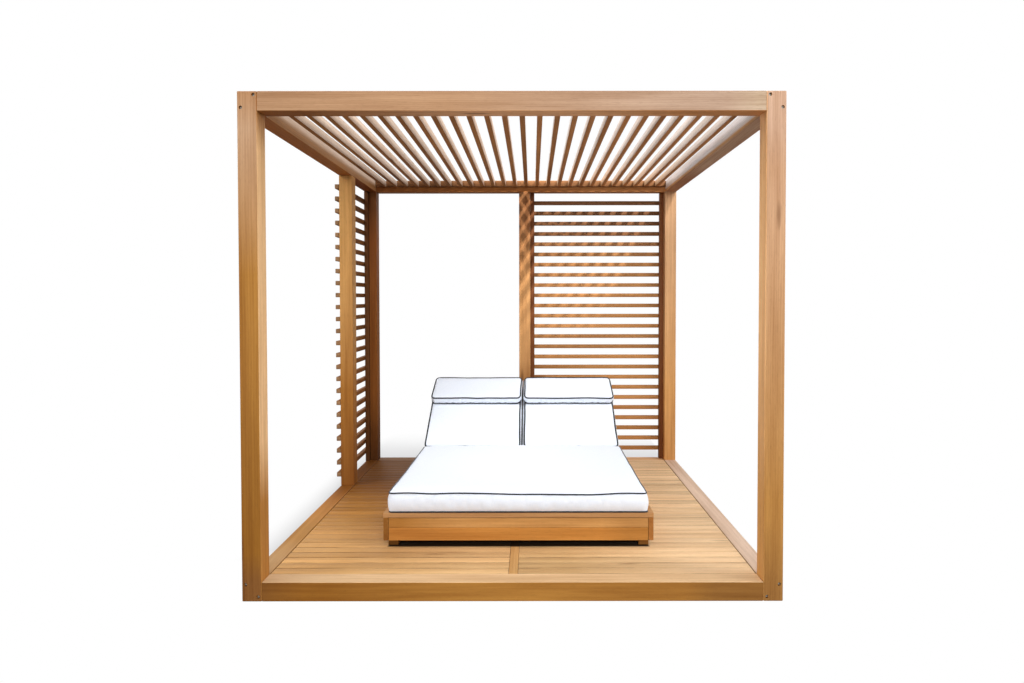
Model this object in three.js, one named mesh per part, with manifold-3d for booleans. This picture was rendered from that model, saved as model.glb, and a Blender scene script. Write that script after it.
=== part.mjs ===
// An outdoor daybed with a canopy: a square timber pavilion with a slatted roof, two slatted screens and a
// plank deck, and on the deck a double chaise whose two backrests recline on notched racks.
// Units are millimetres and +Z is up. The origin is under the middle of the whole outline, on the ground,
// with the open front towards -Y.
import * as THREE from "three";
import { mergeVertices } from "three/addons/utils/BufferGeometryUtils.js";
import Module from "manifold-3d";

// Driving sizes. Each group belongs to one sub-assembly.
const fit = {
  gap: 0.3, // between two faces that touch
  bond: 1, // how far glued or screwed boards of one piece sink into each other
  overrun: 6, // how far a cutting tool runs past the face that it cuts
  pinPlay: 0.4, // between a pin and its hole, on the radius
  ease: 2.5, // chamfer on the long edges of posts and beams
  roundSides: 16, // facets of a rod or a hole
  slimSides: 10, // facets of a slim one
  slimRadius: 6,
};

const pavilion = {
  width: 2645,
  depth: 2425,
  height: 2480,
  post: 95, // side of the square posts and beams
  rearPostShift: 14.5, // of the rear middle post's left face to the left of the middle line
  sidePostSetback: 1602, // from the front face to the left middle post
};

const screen = { slats: 25, thickness: 31, height: 32, margin: 64.5, cleat: 35 };

const roof = { slats: 26, thickness: 29, height: 46.5, topRecess: 8.5, endRail: 29 };

const deck = {
  planks: 33,
  gap: 2.3,
  thickness: 22,
  rail: 46,
  sideGap: 4,
  joists: 4,
  joist: 45,
  joistSpace: 255, // between neighbouring joists
};

const bolt = {
  inset: 17, // from the post's edges to the axis of the nearer bolt
  baseRaise: 5.5, // of the bolts in the base above the places that this gives
  recess: 18, // depth of the counterbore
  recessRadius: 8.5,
  headRadius: 7.2,
  headHeight: 8,
  shankRadius: 4,
  grip: 80, // length of shank inside the beam
};

const chaise = {
  width: 1512,
  rearClearance: 22, // between its rear board and the pavilion's rear posts
  offset: 19, // of the chaise's middle line to the right of the pavilion's
  board: 28,
  boardHeight: 129,
  topThickness: 24, // of the seat frame and the backrest frames
  hingeSetback: 1188, // from the front board's face to the hinge axis
};

const foot = { size: 56, height: 32, setback: 18, inset: 25 };

const bearer = { center: 36, cross: 36, crossSetback: 600 };

const grille = { frontRail: 70, sideRail: 60, hingeRail: 60, centerRail: 60, slat: 60, slatGap: 14 };

const ear = { outer: 35, center: 36, railClearance: 13, sideClearance: 1 };

const backrest = {
  length: 672, // from the hinge axis to the top rail's end
  sideInset: 25, // of its outer stile from the chaise's side
  stile: 70,
  topRail: 70,
  lowerRail: 50,
  lowerRailStart: 17,
  centerGap: 8, // between the two backrests
  rodRadius: 5,
  rest: 40, // degrees above flat as photographed
};

const prop = {
  rearClearance: 41, // between its leg's end and the chaise's rear board when the backrest lies flat
  pivotDrop: 34, // below the middle of the backrest's thickness
  legWidth: 38,
  legThickness: 22,
  sideClearance: 1,
  barRadius: 11,
  rodRadius: 5,
  cleatLength: 84,
  cleatThickness: 22,
};

const rack = {
  thickness: 22,
  clearance: 4, // beside the prop's leg
  height: 84, // of its highest stretch
  notchDepth: 6,
  steps: [12, 26, 40, 53, 65], // degrees above flat at which the prop's bar meets a notch
  seat: 0.5, // between the bar and the tips of the teeth
};

const mattress = {
  thickness: 126,
  sideSetback: 32, // from the chaise's sides to the boxing
  frontSetback: 6, // from the front board's face to the front of the boxing
  rearSetback: 18, // from the hinge axis to the rear of the boxing
  corner: 42,
  bulge: 12,
  draw: 5,
  crown: 15,
};

const backCushion = {
  thickness: 108,
  sideSetback: 42, // from the chaise's side to the outer boxing
  centerGap: 14,
  topInset: 14, // its upper end reaches past the top rail by this
  lowerStart: 44, // up the backrest, at its underside
  bevel: 70, // how much further up its lower end lies at the top face
  bevelShare: 0.55, // of the thickness over which the lower end slopes
  corner: 34,
  bulge: 11,
  draw: 4,
  crown: 6,
};

const pillow = { length: 222, thickness: 63, corner: 26, bulge: 8, draw: 3, crown: 9 };

const cushionForm = { cornerSteps: 3, sideSteps: 5, boxingSteps: 4, crownSteps: 4, crownReachShare: 0.85 };

// Where the main levels and lines lie, worked out from the driving sizes.
const halfWidth = pavilion.width / 2;
const beamTop = pavilion.post;
const ceiling = pavilion.height - pavilion.post;
const clearHeight = ceiling - beamTop;
const innerHalfWidth = halfWidth - pavilion.post;
const rearInner = pavilion.depth - pavilion.post;

const boxBottom = beamTop + fit.gap + foot.height;
const boxTop = boxBottom + chaise.boardHeight;
const topBottom = boxTop + fit.gap;
const topTop = topBottom + chaise.topThickness;
const chaiseHalf = chaise.width / 2;
const chaiseLength = chaise.hingeSetback + backrest.length;
const chaiseFront = rearInner - chaise.rearClearance - chaiseLength;
const topHalf = chaise.topThickness / 2;
const hingeZ = topBottom + topHalf;

// The prop is as long as its pivot is far from the hinge axis, so its bar runs on a line through that axis.
const propLength = (backrest.length - chaise.board - prop.rearClearance - prop.legWidth / 2) / 2;
const rackSlope = Math.asin(prop.pivotDrop / propLength);
const pivotAlong = propLength * Math.cos(rackSlope);

// Materials.
const finishes = {
  lightTeak: new THREE.MeshStandardMaterial({ color: 0xc49a68, roughness: 0.6, metalness: 0 }),
  goldenTeak: new THREE.MeshStandardMaterial({ color: 0xb07c45, roughness: 0.6, metalness: 0 }),
  deckTeak: new THREE.MeshStandardMaterial({ color: 0xcb9a63, roughness: 0.65, metalness: 0 }),
  chaiseTeak: new THREE.MeshStandardMaterial({ color: 0xc0803f, roughness: 0.55, metalness: 0 }),
  fabric: new THREE.MeshStandardMaterial({ color: 0xf4f5f7, roughness: 0.95, metalness: 0 }),
  darkSteel: new THREE.MeshStandardMaterial({ color: 0x3a3836, roughness: 0.45, metalness: 0.9 }),
  brightSteel: new THREE.MeshStandardMaterial({ color: 0xb9bbbd, roughness: 0.35, metalness: 1 }),
};

// Solids and booleans.
const wasm = await Module();
wasm.setup();

function solid(geometry) {
  const bare = geometry.clone();
  for (const extra of ["normal", "uv"]) bare.deleteAttribute(extra);
  const merged = mergeVertices(bare, 1e-4);
  return new wasm.Manifold(
    new wasm.Mesh({
      numProp: 3,
      vertProperties: merged.attributes.position.array,
      triVerts: new Uint32Array(merged.index.array),
    }),
  );
}

function geometryOf(manifold) {
  const mesh = manifold.getMesh();
  const geometry = new THREE.BufferGeometry();
  geometry.setAttribute("position", new THREE.BufferAttribute(mesh.vertProperties, 3));
  geometry.setIndex(new THREE.BufferAttribute(mesh.triVerts, 1));
  const flat = geometry.toNonIndexed();
  flat.computeVertexNormals();
  return flat;
}

function join(solids) {
  return solids.reduce((whole, next) => whole.add(next));
}

function cut(body, tools) {
  return tools.reduce((rest, tool) => rest.subtract(tool), body);
}

// A plain bar between two opposite corners. Bars that share a corner's value meet there exactly.
function bar(low, high) {
  const geometry = new THREE.BoxGeometry();
  const { array, itemSize } = geometry.attributes.position;
  array.forEach((value, index) => {
    array[index] = (value < 0 ? low : high)[index % itemSize];
  });
  return solid(geometry);
}

// A board between two opposite corners, with every edge eased by a chamfer.
function board(low, high, ease = fit.ease) {
  const [width, depth, height] = high.map((value, axis) => value - low[axis]);
  const outline = new THREE.Shape([
    new THREE.Vector2(ease, 0),
    new THREE.Vector2(width - ease, 0),
    new THREE.Vector2(width, ease),
    new THREE.Vector2(width, depth - ease),
    new THREE.Vector2(width - ease, depth),
    new THREE.Vector2(ease, depth),
    new THREE.Vector2(0, depth - ease),
    new THREE.Vector2(0, ease),
  ]);
  const geometry = new THREE.ExtrudeGeometry(outline, {
    depth: height - 2 * ease,
    bevelThickness: ease,
    bevelSize: ease,
    bevelOffset: -ease,
    bevelSegments: 1,
  });
  geometry.translate(low[0], low[1], low[2] + ease);
  return solid(geometry);
}

function facets(radius) {
  return radius < fit.slimRadius ? fit.slimSides : fit.roundSides;
}

// A round rod along X, between two places on that axis.
function rodAcross(radius, [start, end], y, z) {
  const geometry = new THREE.CylinderGeometry(radius, radius, end - start, facets(radius));
  geometry.rotateZ(Math.PI / 2);
  geometry.translate((start + end) / 2, y, z);
  return solid(geometry);
}

// A round rod along Y.
function rodAlong(radius, x, [start, end], z) {
  const geometry = new THREE.CylinderGeometry(radius, radius, end - start, facets(radius));
  geometry.translate(x, (start + end) / 2, z);
  return solid(geometry);
}

// A plate that lies in the Y-Z plane, from its outline there and its span along X.
function plate(points, [start, end]) {
  const outline = new THREE.Shape(points.map(([y, z]) => new THREE.Vector2(y, z)));
  const geometry = new THREE.ExtrudeGeometry(outline, { depth: end - start, bevelEnabled: false });
  geometry.rotateX(Math.PI / 2);
  geometry.rotateZ(Math.PI / 2);
  geometry.translate(start, 0, 0);
  return solid(geometry);
}

// The points of a half circle in the Y-Z plane that bulges towards +Y (1) or -Y (-1).
function roundEnd(y, [bottom, top], toward) {
  const radius = (top - bottom) / 2;
  const steps = fit.roundSides / 2;
  const points = [[y, bottom]];
  for (let step = 1; step < steps; step++) {
    const angle = (step / steps - 1 / 2) * Math.PI;
    points.push([y + toward * radius * Math.cos(angle), bottom + radius * (1 + Math.sin(angle))]);
  }
  points.push([y, top]);
  return points;
}

// A flat tongue that starts square and ends round, about the axis at the place called end.
function tongue(across, start, end, [bottom, top]) {
  const toward = Math.sign(end - start);
  const outline = [[start, bottom], ...roundEnd(end, [bottom, top], toward), [start, top]];
  return plate(toward > 0 ? outline : outline.reverse(), across);
}

const root = new THREE.Group();
root.position.set(screen.thickness / 2, -(pavilion.depth + screen.thickness) / 2, 0);

function addPiece(group, name, body, finish) {
  const mesh = new THREE.Mesh(geometryOf(body), finish);
  mesh.name = name;
  group.add(mesh);
}

// The signed span between two distances from a middle line, on the left (-1) or on the right (1).
function span(side, inner, outer) {
  return side < 0 ? [-outer, -inner] : [inner, outer];
}

const sides = [
  { name: "left", sign: -1 },
  { name: "right", sign: 1 },
];

// Corner bolts. Two bolts hold each end of a side beam, on a diagonal of the beam's end.
const boltPlaces = [];
for (const { name, sign } of sides)
  for (const level of ["top", "bottom"])
    for (const place of ["inner", "outer"]) {
      const inset = place === "inner" ? bolt.inset : pavilion.post - bolt.inset;
      boltPlaces.push({
        name: `bolt_${level}_${name}_${place}`,
        x: sign * (innerHalfWidth + inset),
        z: level === "top" ? pavilion.height - inset : inset + bolt.baseRaise,
      });
    }

const shankEnd = pavilion.post + bolt.grip;
const boltHoles = boltPlaces.flatMap(({ x, z }) => [
  rodAlong(bolt.recessRadius, x, [-fit.overrun, bolt.recess], z),
  rodAlong(bolt.shankRadius + fit.pinPlay, x, [0, shankEnd + fit.gap], z),
]);

function addBolts(group) {
  for (const { name, x, z } of boltPlaces) {
    const headEnd = bolt.recess - fit.gap;
    const head = rodAlong(bolt.headRadius, x, [headEnd - bolt.headHeight, headEnd], z);
    const shank = rodAlong(bolt.shankRadius, x, [headEnd - fit.bond, shankEnd], z);
    addPiece(group, name, head.add(shank), finishes.darkSteel);
  }
}

// The pavilion's posts: four at the corners at full height, two between the base and the top beams.
function addPosts(group) {
  const { post, depth, height } = pavilion;
  for (const { name, sign } of sides) {
    const [left, right] = span(sign, innerHalfWidth, halfWidth);
    const front = cut(board([left, 0, 0], [right, post, height]), boltHoles);
    addPiece(group, `post_front_${name}`, front, finishes.lightTeak);
    const rear = board([left, rearInner, 0], [right, depth, height]);
    addPiece(group, `post_rear_${name}`, rear, finishes.lightTeak);
  }
  const low = beamTop + fit.gap;
  const high = ceiling - fit.gap;
  const rearLeft = -pavilion.rearPostShift;
  const rearMiddle = board([rearLeft, rearInner, low], [rearLeft + post, depth, high]);
  addPiece(group, "post_rear_middle", rearMiddle, finishes.lightTeak);
  const sideFront = pavilion.sidePostSetback;
  const leftMiddle = board([-halfWidth, sideFront, low], [-innerHalfWidth, sideFront + post, high]);
  addPiece(group, "post_left_middle", leftMiddle, finishes.lightTeak);
}

// Four top beams and four base beams fill the spaces between the corner posts.
function addBeams(group) {
  const { post, depth, height } = pavilion;
  const across = innerHalfWidth - fit.gap;
  const levels = [
    { level: "base", low: 0, high: post, finish: finishes.goldenTeak },
    { level: "top", low: height - post, high: height, finish: finishes.lightTeak },
  ];
  for (const { level, low, high, finish } of levels) {
    const front = board([-across, 0, low], [across, post, high]);
    addPiece(group, `beam_${level}_front`, front, finish);
    const rear = board([-across, rearInner, low], [across, depth, high]);
    addPiece(group, `beam_${level}_rear`, rear, finish);
    for (const { name, sign } of sides) {
      const [left, right] = span(sign, innerHalfWidth, halfWidth);
      const side = board([left, post + fit.gap, low], [right, rearInner - fit.gap, high]);
      addPiece(group, `beam_${level}_${name}`, cut(side, boltHoles), finish);
    }
  }
}

// The deck: planks across, screwed to joists that stand on the ground, in two panels beside a middle rail.
function addDeck(group) {
  const front = pavilion.post + fit.gap;
  const rear = rearInner - fit.gap;
  const railHalf = deck.rail / 2;
  const rail = board([-railHalf, front, 0], [railHalf, rear, beamTop]);
  addPiece(group, "deck_center_rail", rail, finishes.deckTeak);
  const pitch = (rear - front + deck.gap) / deck.planks;
  const plankBottom = beamTop - deck.thickness;
  for (const { name, sign } of sides) {
    const inner = railHalf + fit.gap;
    const outer = innerHalfWidth - deck.sideGap;
    const joistPitch = deck.joist + deck.joistSpace;
    const joistStart = (inner + outer - deck.joist - (deck.joists - 1) * joistPitch) / 2;
    const boards = [];
    for (let plank = 0; plank < deck.planks; plank++) {
      const [left, right] = span(sign, inner, outer);
      const start = front + plank * pitch;
      boards.push(bar([left, start, plankBottom], [right, start + pitch - deck.gap, beamTop]));
    }
    for (let joist = 0; joist < deck.joists; joist++) {
      const place = joistStart + joist * joistPitch;
      const [left, right] = span(sign, place, place + deck.joist);
      boards.push(bar([left, front, 0], [right, rear, plankBottom]));
    }
    addPiece(group, `deck_panel_${name}`, join(boards), finishes.deckTeak);
  }
}

// The roof: upright slats from front to rear in two panels, tied by end rails screwed to the beams.
function addRoof(group) {
  const front = pavilion.post + fit.gap;
  const rear = rearInner - fit.gap;
  const top = pavilion.height - roof.topRecess;
  const bottom = top - roof.height;
  const spacing = (2 * innerHalfWidth - roof.slats * roof.thickness) / (roof.slats + 1);
  const pitch = spacing + roof.thickness;
  for (const { name, sign } of sides) {
    const [railLeft, railRight] = span(sign, fit.gap, innerHalfWidth - fit.gap);
    const boards = [
      bar([railLeft, front, bottom], [railRight, front + roof.endRail, top]),
      bar([railLeft, rear - roof.endRail, bottom], [railRight, rear, top]),
    ];
    for (let slat = 0; slat < roof.slats / 2; slat++) {
      const outer = innerHalfWidth - spacing - slat * pitch;
      const [left, right] = span(sign, outer - roof.thickness, outer);
      const start = front + roof.endRail - fit.bond;
      const end = rear - roof.endRail + fit.bond;
      boards.push(bar([left, start, bottom], [right, end, top]));
    }
    addPiece(group, `roof_panel_${name}`, join(boards), finishes.lightTeak);
  }
}

// A screen: level slats outside the posts, screwed to two upright cleats between the posts.
// Along is the axis that the slats run on, and outward the one that the screen faces.
function screenBody({ start, end, cleatPlaces, face, faceSign, along }) {
  const corner = (alongValue, outValue, z) =>
    along === "x" ? [alongValue, outValue, z] : [outValue, alongValue, z];
  const outSpan = (inner, outer) =>
    faceSign > 0 ? [face + inner, face + outer] : [face - outer, face - inner];
  const pitch = (clearHeight - 2 * screen.margin - screen.height) / (screen.slats - 1);
  const boards = [];
  for (let slat = 0; slat < screen.slats; slat++) {
    const low = beamTop + screen.margin + slat * pitch;
    const [near, far] = outSpan(fit.gap, screen.thickness);
    boards.push(bar(corner(start, near, low), corner(end, far, low + screen.height)));
  }
  for (const place of cleatPlaces) {
    const [near, far] = outSpan(-screen.cleat, fit.gap);
    const low = beamTop + fit.gap;
    const high = ceiling - fit.gap;
    boards.push(bar(corner(place, near, low), corner(place + screen.cleat, far, high)));
  }
  return join(boards);
}

function addScreens(group) {
  const { post, depth } = pavilion;
  const middlePost = -pavilion.rearPostShift;
  const rear = screenBody({
    start: middlePost,
    end: halfWidth,
    cleatPlaces: [middlePost + post + fit.gap, innerHalfWidth - fit.gap - screen.cleat],
    face: depth,
    faceSign: 1,
    along: "x",
  });
  addPiece(group, "screen_rear", rear, finishes.goldenTeak);
  const sidePost = pavilion.sidePostSetback;
  const left = screenBody({
    start: sidePost,
    end: depth,
    cleatPlaces: [sidePost + post + fit.gap, rearInner - fit.gap - screen.cleat],
    face: -halfWidth,
    faceSign: -1,
    along: "y",
  });
  addPiece(group, "screen_left", left, finishes.goldenTeak);
}

// The chaise's box: side boards run through, and the front and rear boards stand between them.
function addChaiseBox(group) {
  const inner = chaiseHalf - chaise.board;
  for (const { name, sign } of sides) {
    const [left, right] = span(sign, inner, chaiseHalf);
    const side = board([left, 0, boxBottom], [right, chaiseLength, boxTop]);
    addPiece(group, `chaise_${name}_board`, side, finishes.chaiseTeak);
  }
  const across = inner - fit.gap;
  const ends = [
    { name: "front", start: 0 },
    { name: "rear", start: chaiseLength - chaise.board },
  ];
  for (const { name, start } of ends) {
    const end = board([-across, start, boxBottom], [across, start + chaise.board, boxTop]);
    addPiece(group, `chaise_${name}_board`, end, finishes.chaiseTeak);
    const footStart = name === "front" ? foot.setback : chaiseLength - foot.setback - foot.size;
    for (const side of sides) {
      const [left, right] = span(side.sign, chaiseHalf - foot.inset - foot.size, chaiseHalf - foot.inset);
      const low = [left, footStart, beamTop + fit.gap / 2];
      const high = [right, footStart + foot.size, boxBottom - fit.gap / 2];
      addPiece(group, `foot_${name}_${side.name}`, board(low, high), finishes.chaiseTeak);
    }
  }
}

// Inside the box: a middle bearer from front to rear, and two bearers across it, halved over it.
const hingeRailRear = chaise.hingeSetback - ear.railClearance;

function crossBearerSpan(name) {
  const rear = name === "hinge" ? hingeRailRear : bearer.crossSetback;
  return [rear - bearer.cross, rear];
}

function addBearers(group) {
  const inner = chaiseHalf - chaise.board - fit.gap;
  const half = bearer.center / 2;
  const middle = (boxBottom + boxTop) / 2;
  const start = chaise.board + fit.gap;
  const end = chaiseLength - chaise.board - fit.gap;
  const center = bar([-half, start, boxBottom], [half, end, boxTop]);
  const slots = ["cross", "hinge"].map((name) => {
    const [low, high] = crossBearerSpan(name);
    return bar(
      [-half - fit.overrun, low - fit.gap, middle],
      [half + fit.overrun, high + fit.gap, boxTop + fit.overrun],
    );
  });
  addPiece(group, "chaise_center_bearer", cut(center, slots), finishes.chaiseTeak);
  for (const name of ["cross", "hinge"]) {
    const [low, high] = crossBearerSpan(name);
    const across = bar([-inner, low, boxBottom], [inner, high, boxTop]);
    const slot = bar(
      [-half - fit.gap, low - fit.overrun, boxBottom - fit.overrun],
      [half + fit.gap, high + fit.overrun, middle + fit.gap],
    );
    addPiece(group, `chaise_${name}_bearer`, cut(across, [slot]), finishes.chaiseTeak);
  }
}

// Slats that fill the space between two places along Y, with equal gaps, between two places along X.
function slatRow([left, right], [start, end], [bottom, top]) {
  const count = Math.max(1, Math.round((end - start - grille.slatGap) / (grille.slat + grille.slatGap)));
  const space = (end - start - count * grille.slat) / (count + 1);
  const slats = [];
  for (let slat = 0; slat < count; slat++) {
    const low = start + space + slat * (space + grille.slat);
    slats.push(bar([left, low, bottom], [right, low + grille.slat, top]));
  }
  return slats;
}

// The seat frame: rails and slats in one plane, lying on the box. Its ears at the rear carry the hinge rods.
function addSeatFrame(group) {
  const sideInner = chaiseHalf - grille.sideRail;
  const centerHalf = grille.centerRail / 2;
  const hingeRailFront = hingeRailRear - grille.hingeRail;
  const plane = [topBottom, topTop];
  const rail = ([left, right], [start, end]) =>
    bar([left, start, topBottom], [right, end, topTop]);
  const parts = [
    rail([-chaiseHalf, chaiseHalf], [0, grille.frontRail]),
    rail([-chaiseHalf, chaiseHalf], [hingeRailFront, hingeRailRear]),
    rail([-centerHalf, centerHalf], [grille.frontRail, hingeRailFront]),
  ];
  for (const { sign } of sides) {
    parts.push(rail(span(sign, sideInner, chaiseHalf), [grille.frontRail, hingeRailFront]));
    parts.push(...slatRow(span(sign, centerHalf, sideInner), [grille.frontRail, hingeRailFront], plane));
  }
  const ears = [
    span(-1, chaiseHalf - ear.outer, chaiseHalf),
    [-ear.center / 2, ear.center / 2],
    span(1, chaiseHalf - ear.outer, chaiseHalf),
  ];
  for (const across of ears)
    parts.push(tongue(across, hingeRailRear - fit.bond, chaise.hingeSetback, plane));
  const reach = [-chaiseHalf - fit.overrun, chaiseHalf + fit.overrun];
  const hole = rodAcross(backrest.rodRadius + fit.pinPlay, reach, chaise.hingeSetback, hingeZ);
  addPiece(group, "seat_frame", cut(join(parts), [hole]), finishes.chaiseTeak);
}

// A hinge rod for each backrest, from the outer ear to the middle of the centre ear.
function addHingeRods(group) {
  for (const { name, sign } of sides) {
    const reach = span(sign, fit.bond, chaiseHalf - fit.bond);
    const rod = rodAcross(backrest.rodRadius, reach, chaise.hingeSetback, hingeZ);
    addPiece(group, `hinge_rod_${name}`, rod, finishes.brightSteel);
  }
}

// Distances from the chaise's middle line of the pieces that stand side by side under a backrest.
const stileInner = { inner: backrest.centerGap / 2, outer: backrest.centerGap / 2 + backrest.stile };
const stileOuter = {
  inner: chaiseHalf - backrest.sideInset - backrest.stile,
  outer: chaiseHalf - backrest.sideInset,
};
const cleats = [
  { inner: stileInner.outer - prop.cleatThickness, outer: stileInner.outer, toward: 1 },
  { inner: stileOuter.inner, outer: stileOuter.inner + prop.cleatThickness, toward: -1 },
];
const legs = cleats.map(({ inner, outer, toward }) => {
  const near = toward > 0 ? outer + prop.sideClearance : inner - prop.sideClearance;
  const far = near + toward * prop.legThickness;
  return { inner: Math.min(near, far), outer: Math.max(near, far), toward };
});
const racks = legs.map(({ inner, outer, toward }, index) => {
  const near = toward > 0 ? outer + rack.clearance : inner - rack.clearance;
  const far = near + toward * rack.thickness;
  return { name: index === 0 ? "inner" : "outer", inner: Math.min(near, far), outer: Math.max(near, far) };
});

// How far the prop's bar lies from the hinge axis, along the racks, at an angle of the backrest in degrees.
function barDistance(angle) {
  return 2 * propLength * Math.cos(THREE.MathUtils.degToRad(angle));
}

// The racks: boards on edge whose sloping teeth the prop's bar passes over. The slope aims at the hinge axis.
function addRacks(group) {
  const tip = prop.barRadius + rack.seat;
  const onSlope = (distance, drop) => [
    chaise.hingeSetback + distance * Math.cos(rackSlope) - drop * Math.sin(rackSlope),
    hingeZ - distance * Math.sin(rackSlope) - drop * Math.cos(rackSlope),
  ];
  const notchHalf = Math.sqrt(prop.barRadius ** 2 - (prop.barRadius - rack.notchDepth) ** 2);
  const front = hingeRailRear + fit.gap;
  const rear = chaiseLength - chaise.board - fit.gap;
  const distances = rack.steps.map(barDistance).sort((one, other) => one - other);
  const firstTooth = onSlope(distances[0] - 2 * notchHalf, tip);
  const lastTooth = onSlope((rear - chaise.hingeSetback) / Math.cos(rackSlope), tip);
  const bottom = firstTooth[1] - rack.height;
  const outline = [[front, bottom], [rear, bottom], [rear, lastTooth[1]], firstTooth, [front, firstTooth[1]]];
  const notches = distances.map((distance) => onSlope(distance, tip - prop.barRadius + rack.notchDepth));
  for (const { name, sign } of sides)
    for (const place of racks) {
      const across = span(sign, place.inner, place.outer);
      const reach = [across[0] - fit.overrun, across[1] + fit.overrun];
      const tools = notches.map(([y, z]) => rodAcross(prop.barRadius, reach, y, z));
      const body = cut(plate(outline, across), tools);
      addPiece(group, `rack_${name}_${place.name}`, body, finishes.chaiseTeak);
    }
}

// A backrest frame, drawn flat with the hinge axis at the origin: stiles, rails and slats in one plane,
// rounded lower ends on the hinge rod, and two cleats underneath that hold the prop's rod.
function backrestBody(sign) {
  const { length, topRail, lowerRail, lowerRailStart } = backrest;
  const flat = ([left, right], [start, end]) => bar([left, start, -topHalf], [right, end, topHalf]);
  const earInner = ear.center / 2 + ear.sideClearance;
  const earOuter = chaiseHalf - ear.outer - ear.sideClearance;
  const earEnd = topHalf + ear.sideClearance;
  const field = span(sign, stileInner.outer, stileOuter.inner);
  const slatEnds = [lowerRailStart + lowerRail, length - topRail];
  const knuckles = [span(sign, earInner, stileInner.outer), span(sign, stileOuter.inner, earOuter)];
  const parts = [
    flat(span(sign, stileInner.inner, stileInner.outer), [earEnd, length]),
    flat(span(sign, stileOuter.inner, stileOuter.outer), [earEnd, length]),
    flat(field, [lowerRailStart, slatEnds[0]]),
    flat(field, [slatEnds[1], length]),
    ...slatRow(field, slatEnds, [-topHalf, topHalf]),
  ];
  for (const across of knuckles) parts.push(tongue(across, earEnd + fit.bond, 0, [-topHalf, topHalf]));
  const halfCleat = prop.cleatLength / 2;
  const cleatBottom = -prop.pivotDrop - prop.legWidth / 2;
  const lowHalf = prop.legWidth / 2;
  const cleatOutline = [
    [pivotAlong - lowHalf, cleatBottom],
    [pivotAlong + lowHalf, cleatBottom],
    [pivotAlong + halfCleat, -topHalf + fit.bond],
    [pivotAlong - halfCleat, -topHalf + fit.bond],
  ];
  for (const { inner, outer } of cleats) parts.push(plate(cleatOutline, span(sign, inner, outer)));
  const reach = [-chaiseHalf - fit.overrun, chaiseHalf + fit.overrun];
  return cut(join(parts), [
    rodAcross(backrest.rodRadius + fit.pinPlay, reach, 0, 0),
    rodAcross(prop.rodRadius + fit.pinPlay, reach, pivotAlong, -prop.pivotDrop),
  ]);
}

// A prop, drawn with its pivot at the origin and its legs along +Y: two round-ended legs, a foot bar that
// lies on the racks and a stretcher at the middle.
function propBody(sign) {
  const width = [-prop.legWidth / 2, prop.legWidth / 2];
  const outline = [...roundEnd(propLength, width, 1), ...roundEnd(0, width, -1).reverse()];
  const parts = legs.map(({ inner, outer }) => plate(outline, span(sign, inner, outer)));
  const between = span(sign, legs[0].outer - fit.bond, legs[1].inner + fit.bond);
  parts.push(rodAcross(prop.barRadius, between, propLength, 0));
  const reach = [-chaiseHalf - fit.overrun, chaiseHalf + fit.overrun];
  return cut(join(parts), [rodAcross(prop.rodRadius + fit.pinPlay, reach, 0, 0)]);
}

// A boxed cushion, from x = 0 to width, y = 0 to length and z = 0 up: rings of one outline climb the boxing,
// which bulges, and then close in over the crowned top. The sides are drawn in between the corners.
function cushionGeometry({ width, length, thickness, corner, bulge, draw, crown }) {
  const { cornerSteps, sideSteps, boxingSteps, crownSteps, crownReachShare } = cushionForm;
  const half = [width / 2, length / 2];
  const corners = [[1, 1], [-1, 1], [-1, -1], [1, -1]];
  const outline = (inset) => {
    const reach = half.map((value) => value - inset);
    const radius = Math.max(corner - inset, corner / 2);
    const points = [];
    corners.forEach(([signX, signY], index) => {
      const center = [signX * (reach[0] - radius), signY * (reach[1] - radius)];
      for (let step = 0; step <= cornerSteps; step++) {
        const angle = ((index + step / cornerSteps) * Math.PI) / 2;
        points.push([center[0] + radius * Math.cos(angle), center[1] + radius * Math.sin(angle)]);
      }
      const next = corners[(index + 1) % corners.length];
      const from = points[points.length - 1];
      const alongY = index % 2 === 1;
      const to = alongY
        ? [signX * reach[0], next[1] * (reach[1] - radius)]
        : [next[0] * (reach[0] - radius), signY * reach[1]];
      for (let step = 1; step < sideSteps; step++) {
        const share = step / sideSteps;
        const pull = draw * (1 - (2 * share - 1) ** 2);
        const x = from[0] + (to[0] - from[0]) * share;
        const y = from[1] + (to[1] - from[1]) * share;
        points.push(alongY ? [x - signX * pull, y] : [x, y - signY * pull]);
      }
    });
    return points;
  };
  const rings = [];
  for (let step = 0; step <= boxingSteps; step++) {
    const share = step / boxingSteps;
    const inset = bulge * (1 - Math.sin(Math.PI * share));
    rings.push({ points: outline(inset), height: (thickness - crown) * share });
  }
  for (let step = 1; step <= crownSteps; step++) {
    const share = step / (crownSteps + 1);
    const inset = bulge + (Math.min(...half) - bulge) * crownReachShare * share ** 2;
    const rise = crown * (1 - (1 - share) ** 2);
    rings.push({ points: outline(inset), height: thickness - crown + rise });
  }
  const count = rings[0].points.length;
  const positions = rings.flatMap(({ points, height }) =>
    points.flatMap(([x, y]) => [x + half[0], y + half[1], height]),
  );
  positions.push(half[0], half[1], 0, half[0], half[1], thickness);
  const topCenter = positions.length / 3 - 1;
  const bottomCenter = topCenter - 1;
  const indices = [];
  for (let index = 0; index < count; index++) {
    const next = (index + 1) % count;
    for (let ring = 0; ring < rings.length - 1; ring++) {
      const low = ring * count;
      const high = low + count;
      indices.push(low + index, low + next, high + next, low + index, high + next, high + index);
    }
    const top = (rings.length - 1) * count;
    indices.push(bottomCenter, next, index, topCenter, top + index, top + next);
  }
  const geometry = new THREE.BufferGeometry();
  geometry.setAttribute("position", new THREE.Float32BufferAttribute(positions, 3));
  geometry.setIndex(indices);
  return geometry;
}

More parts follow.
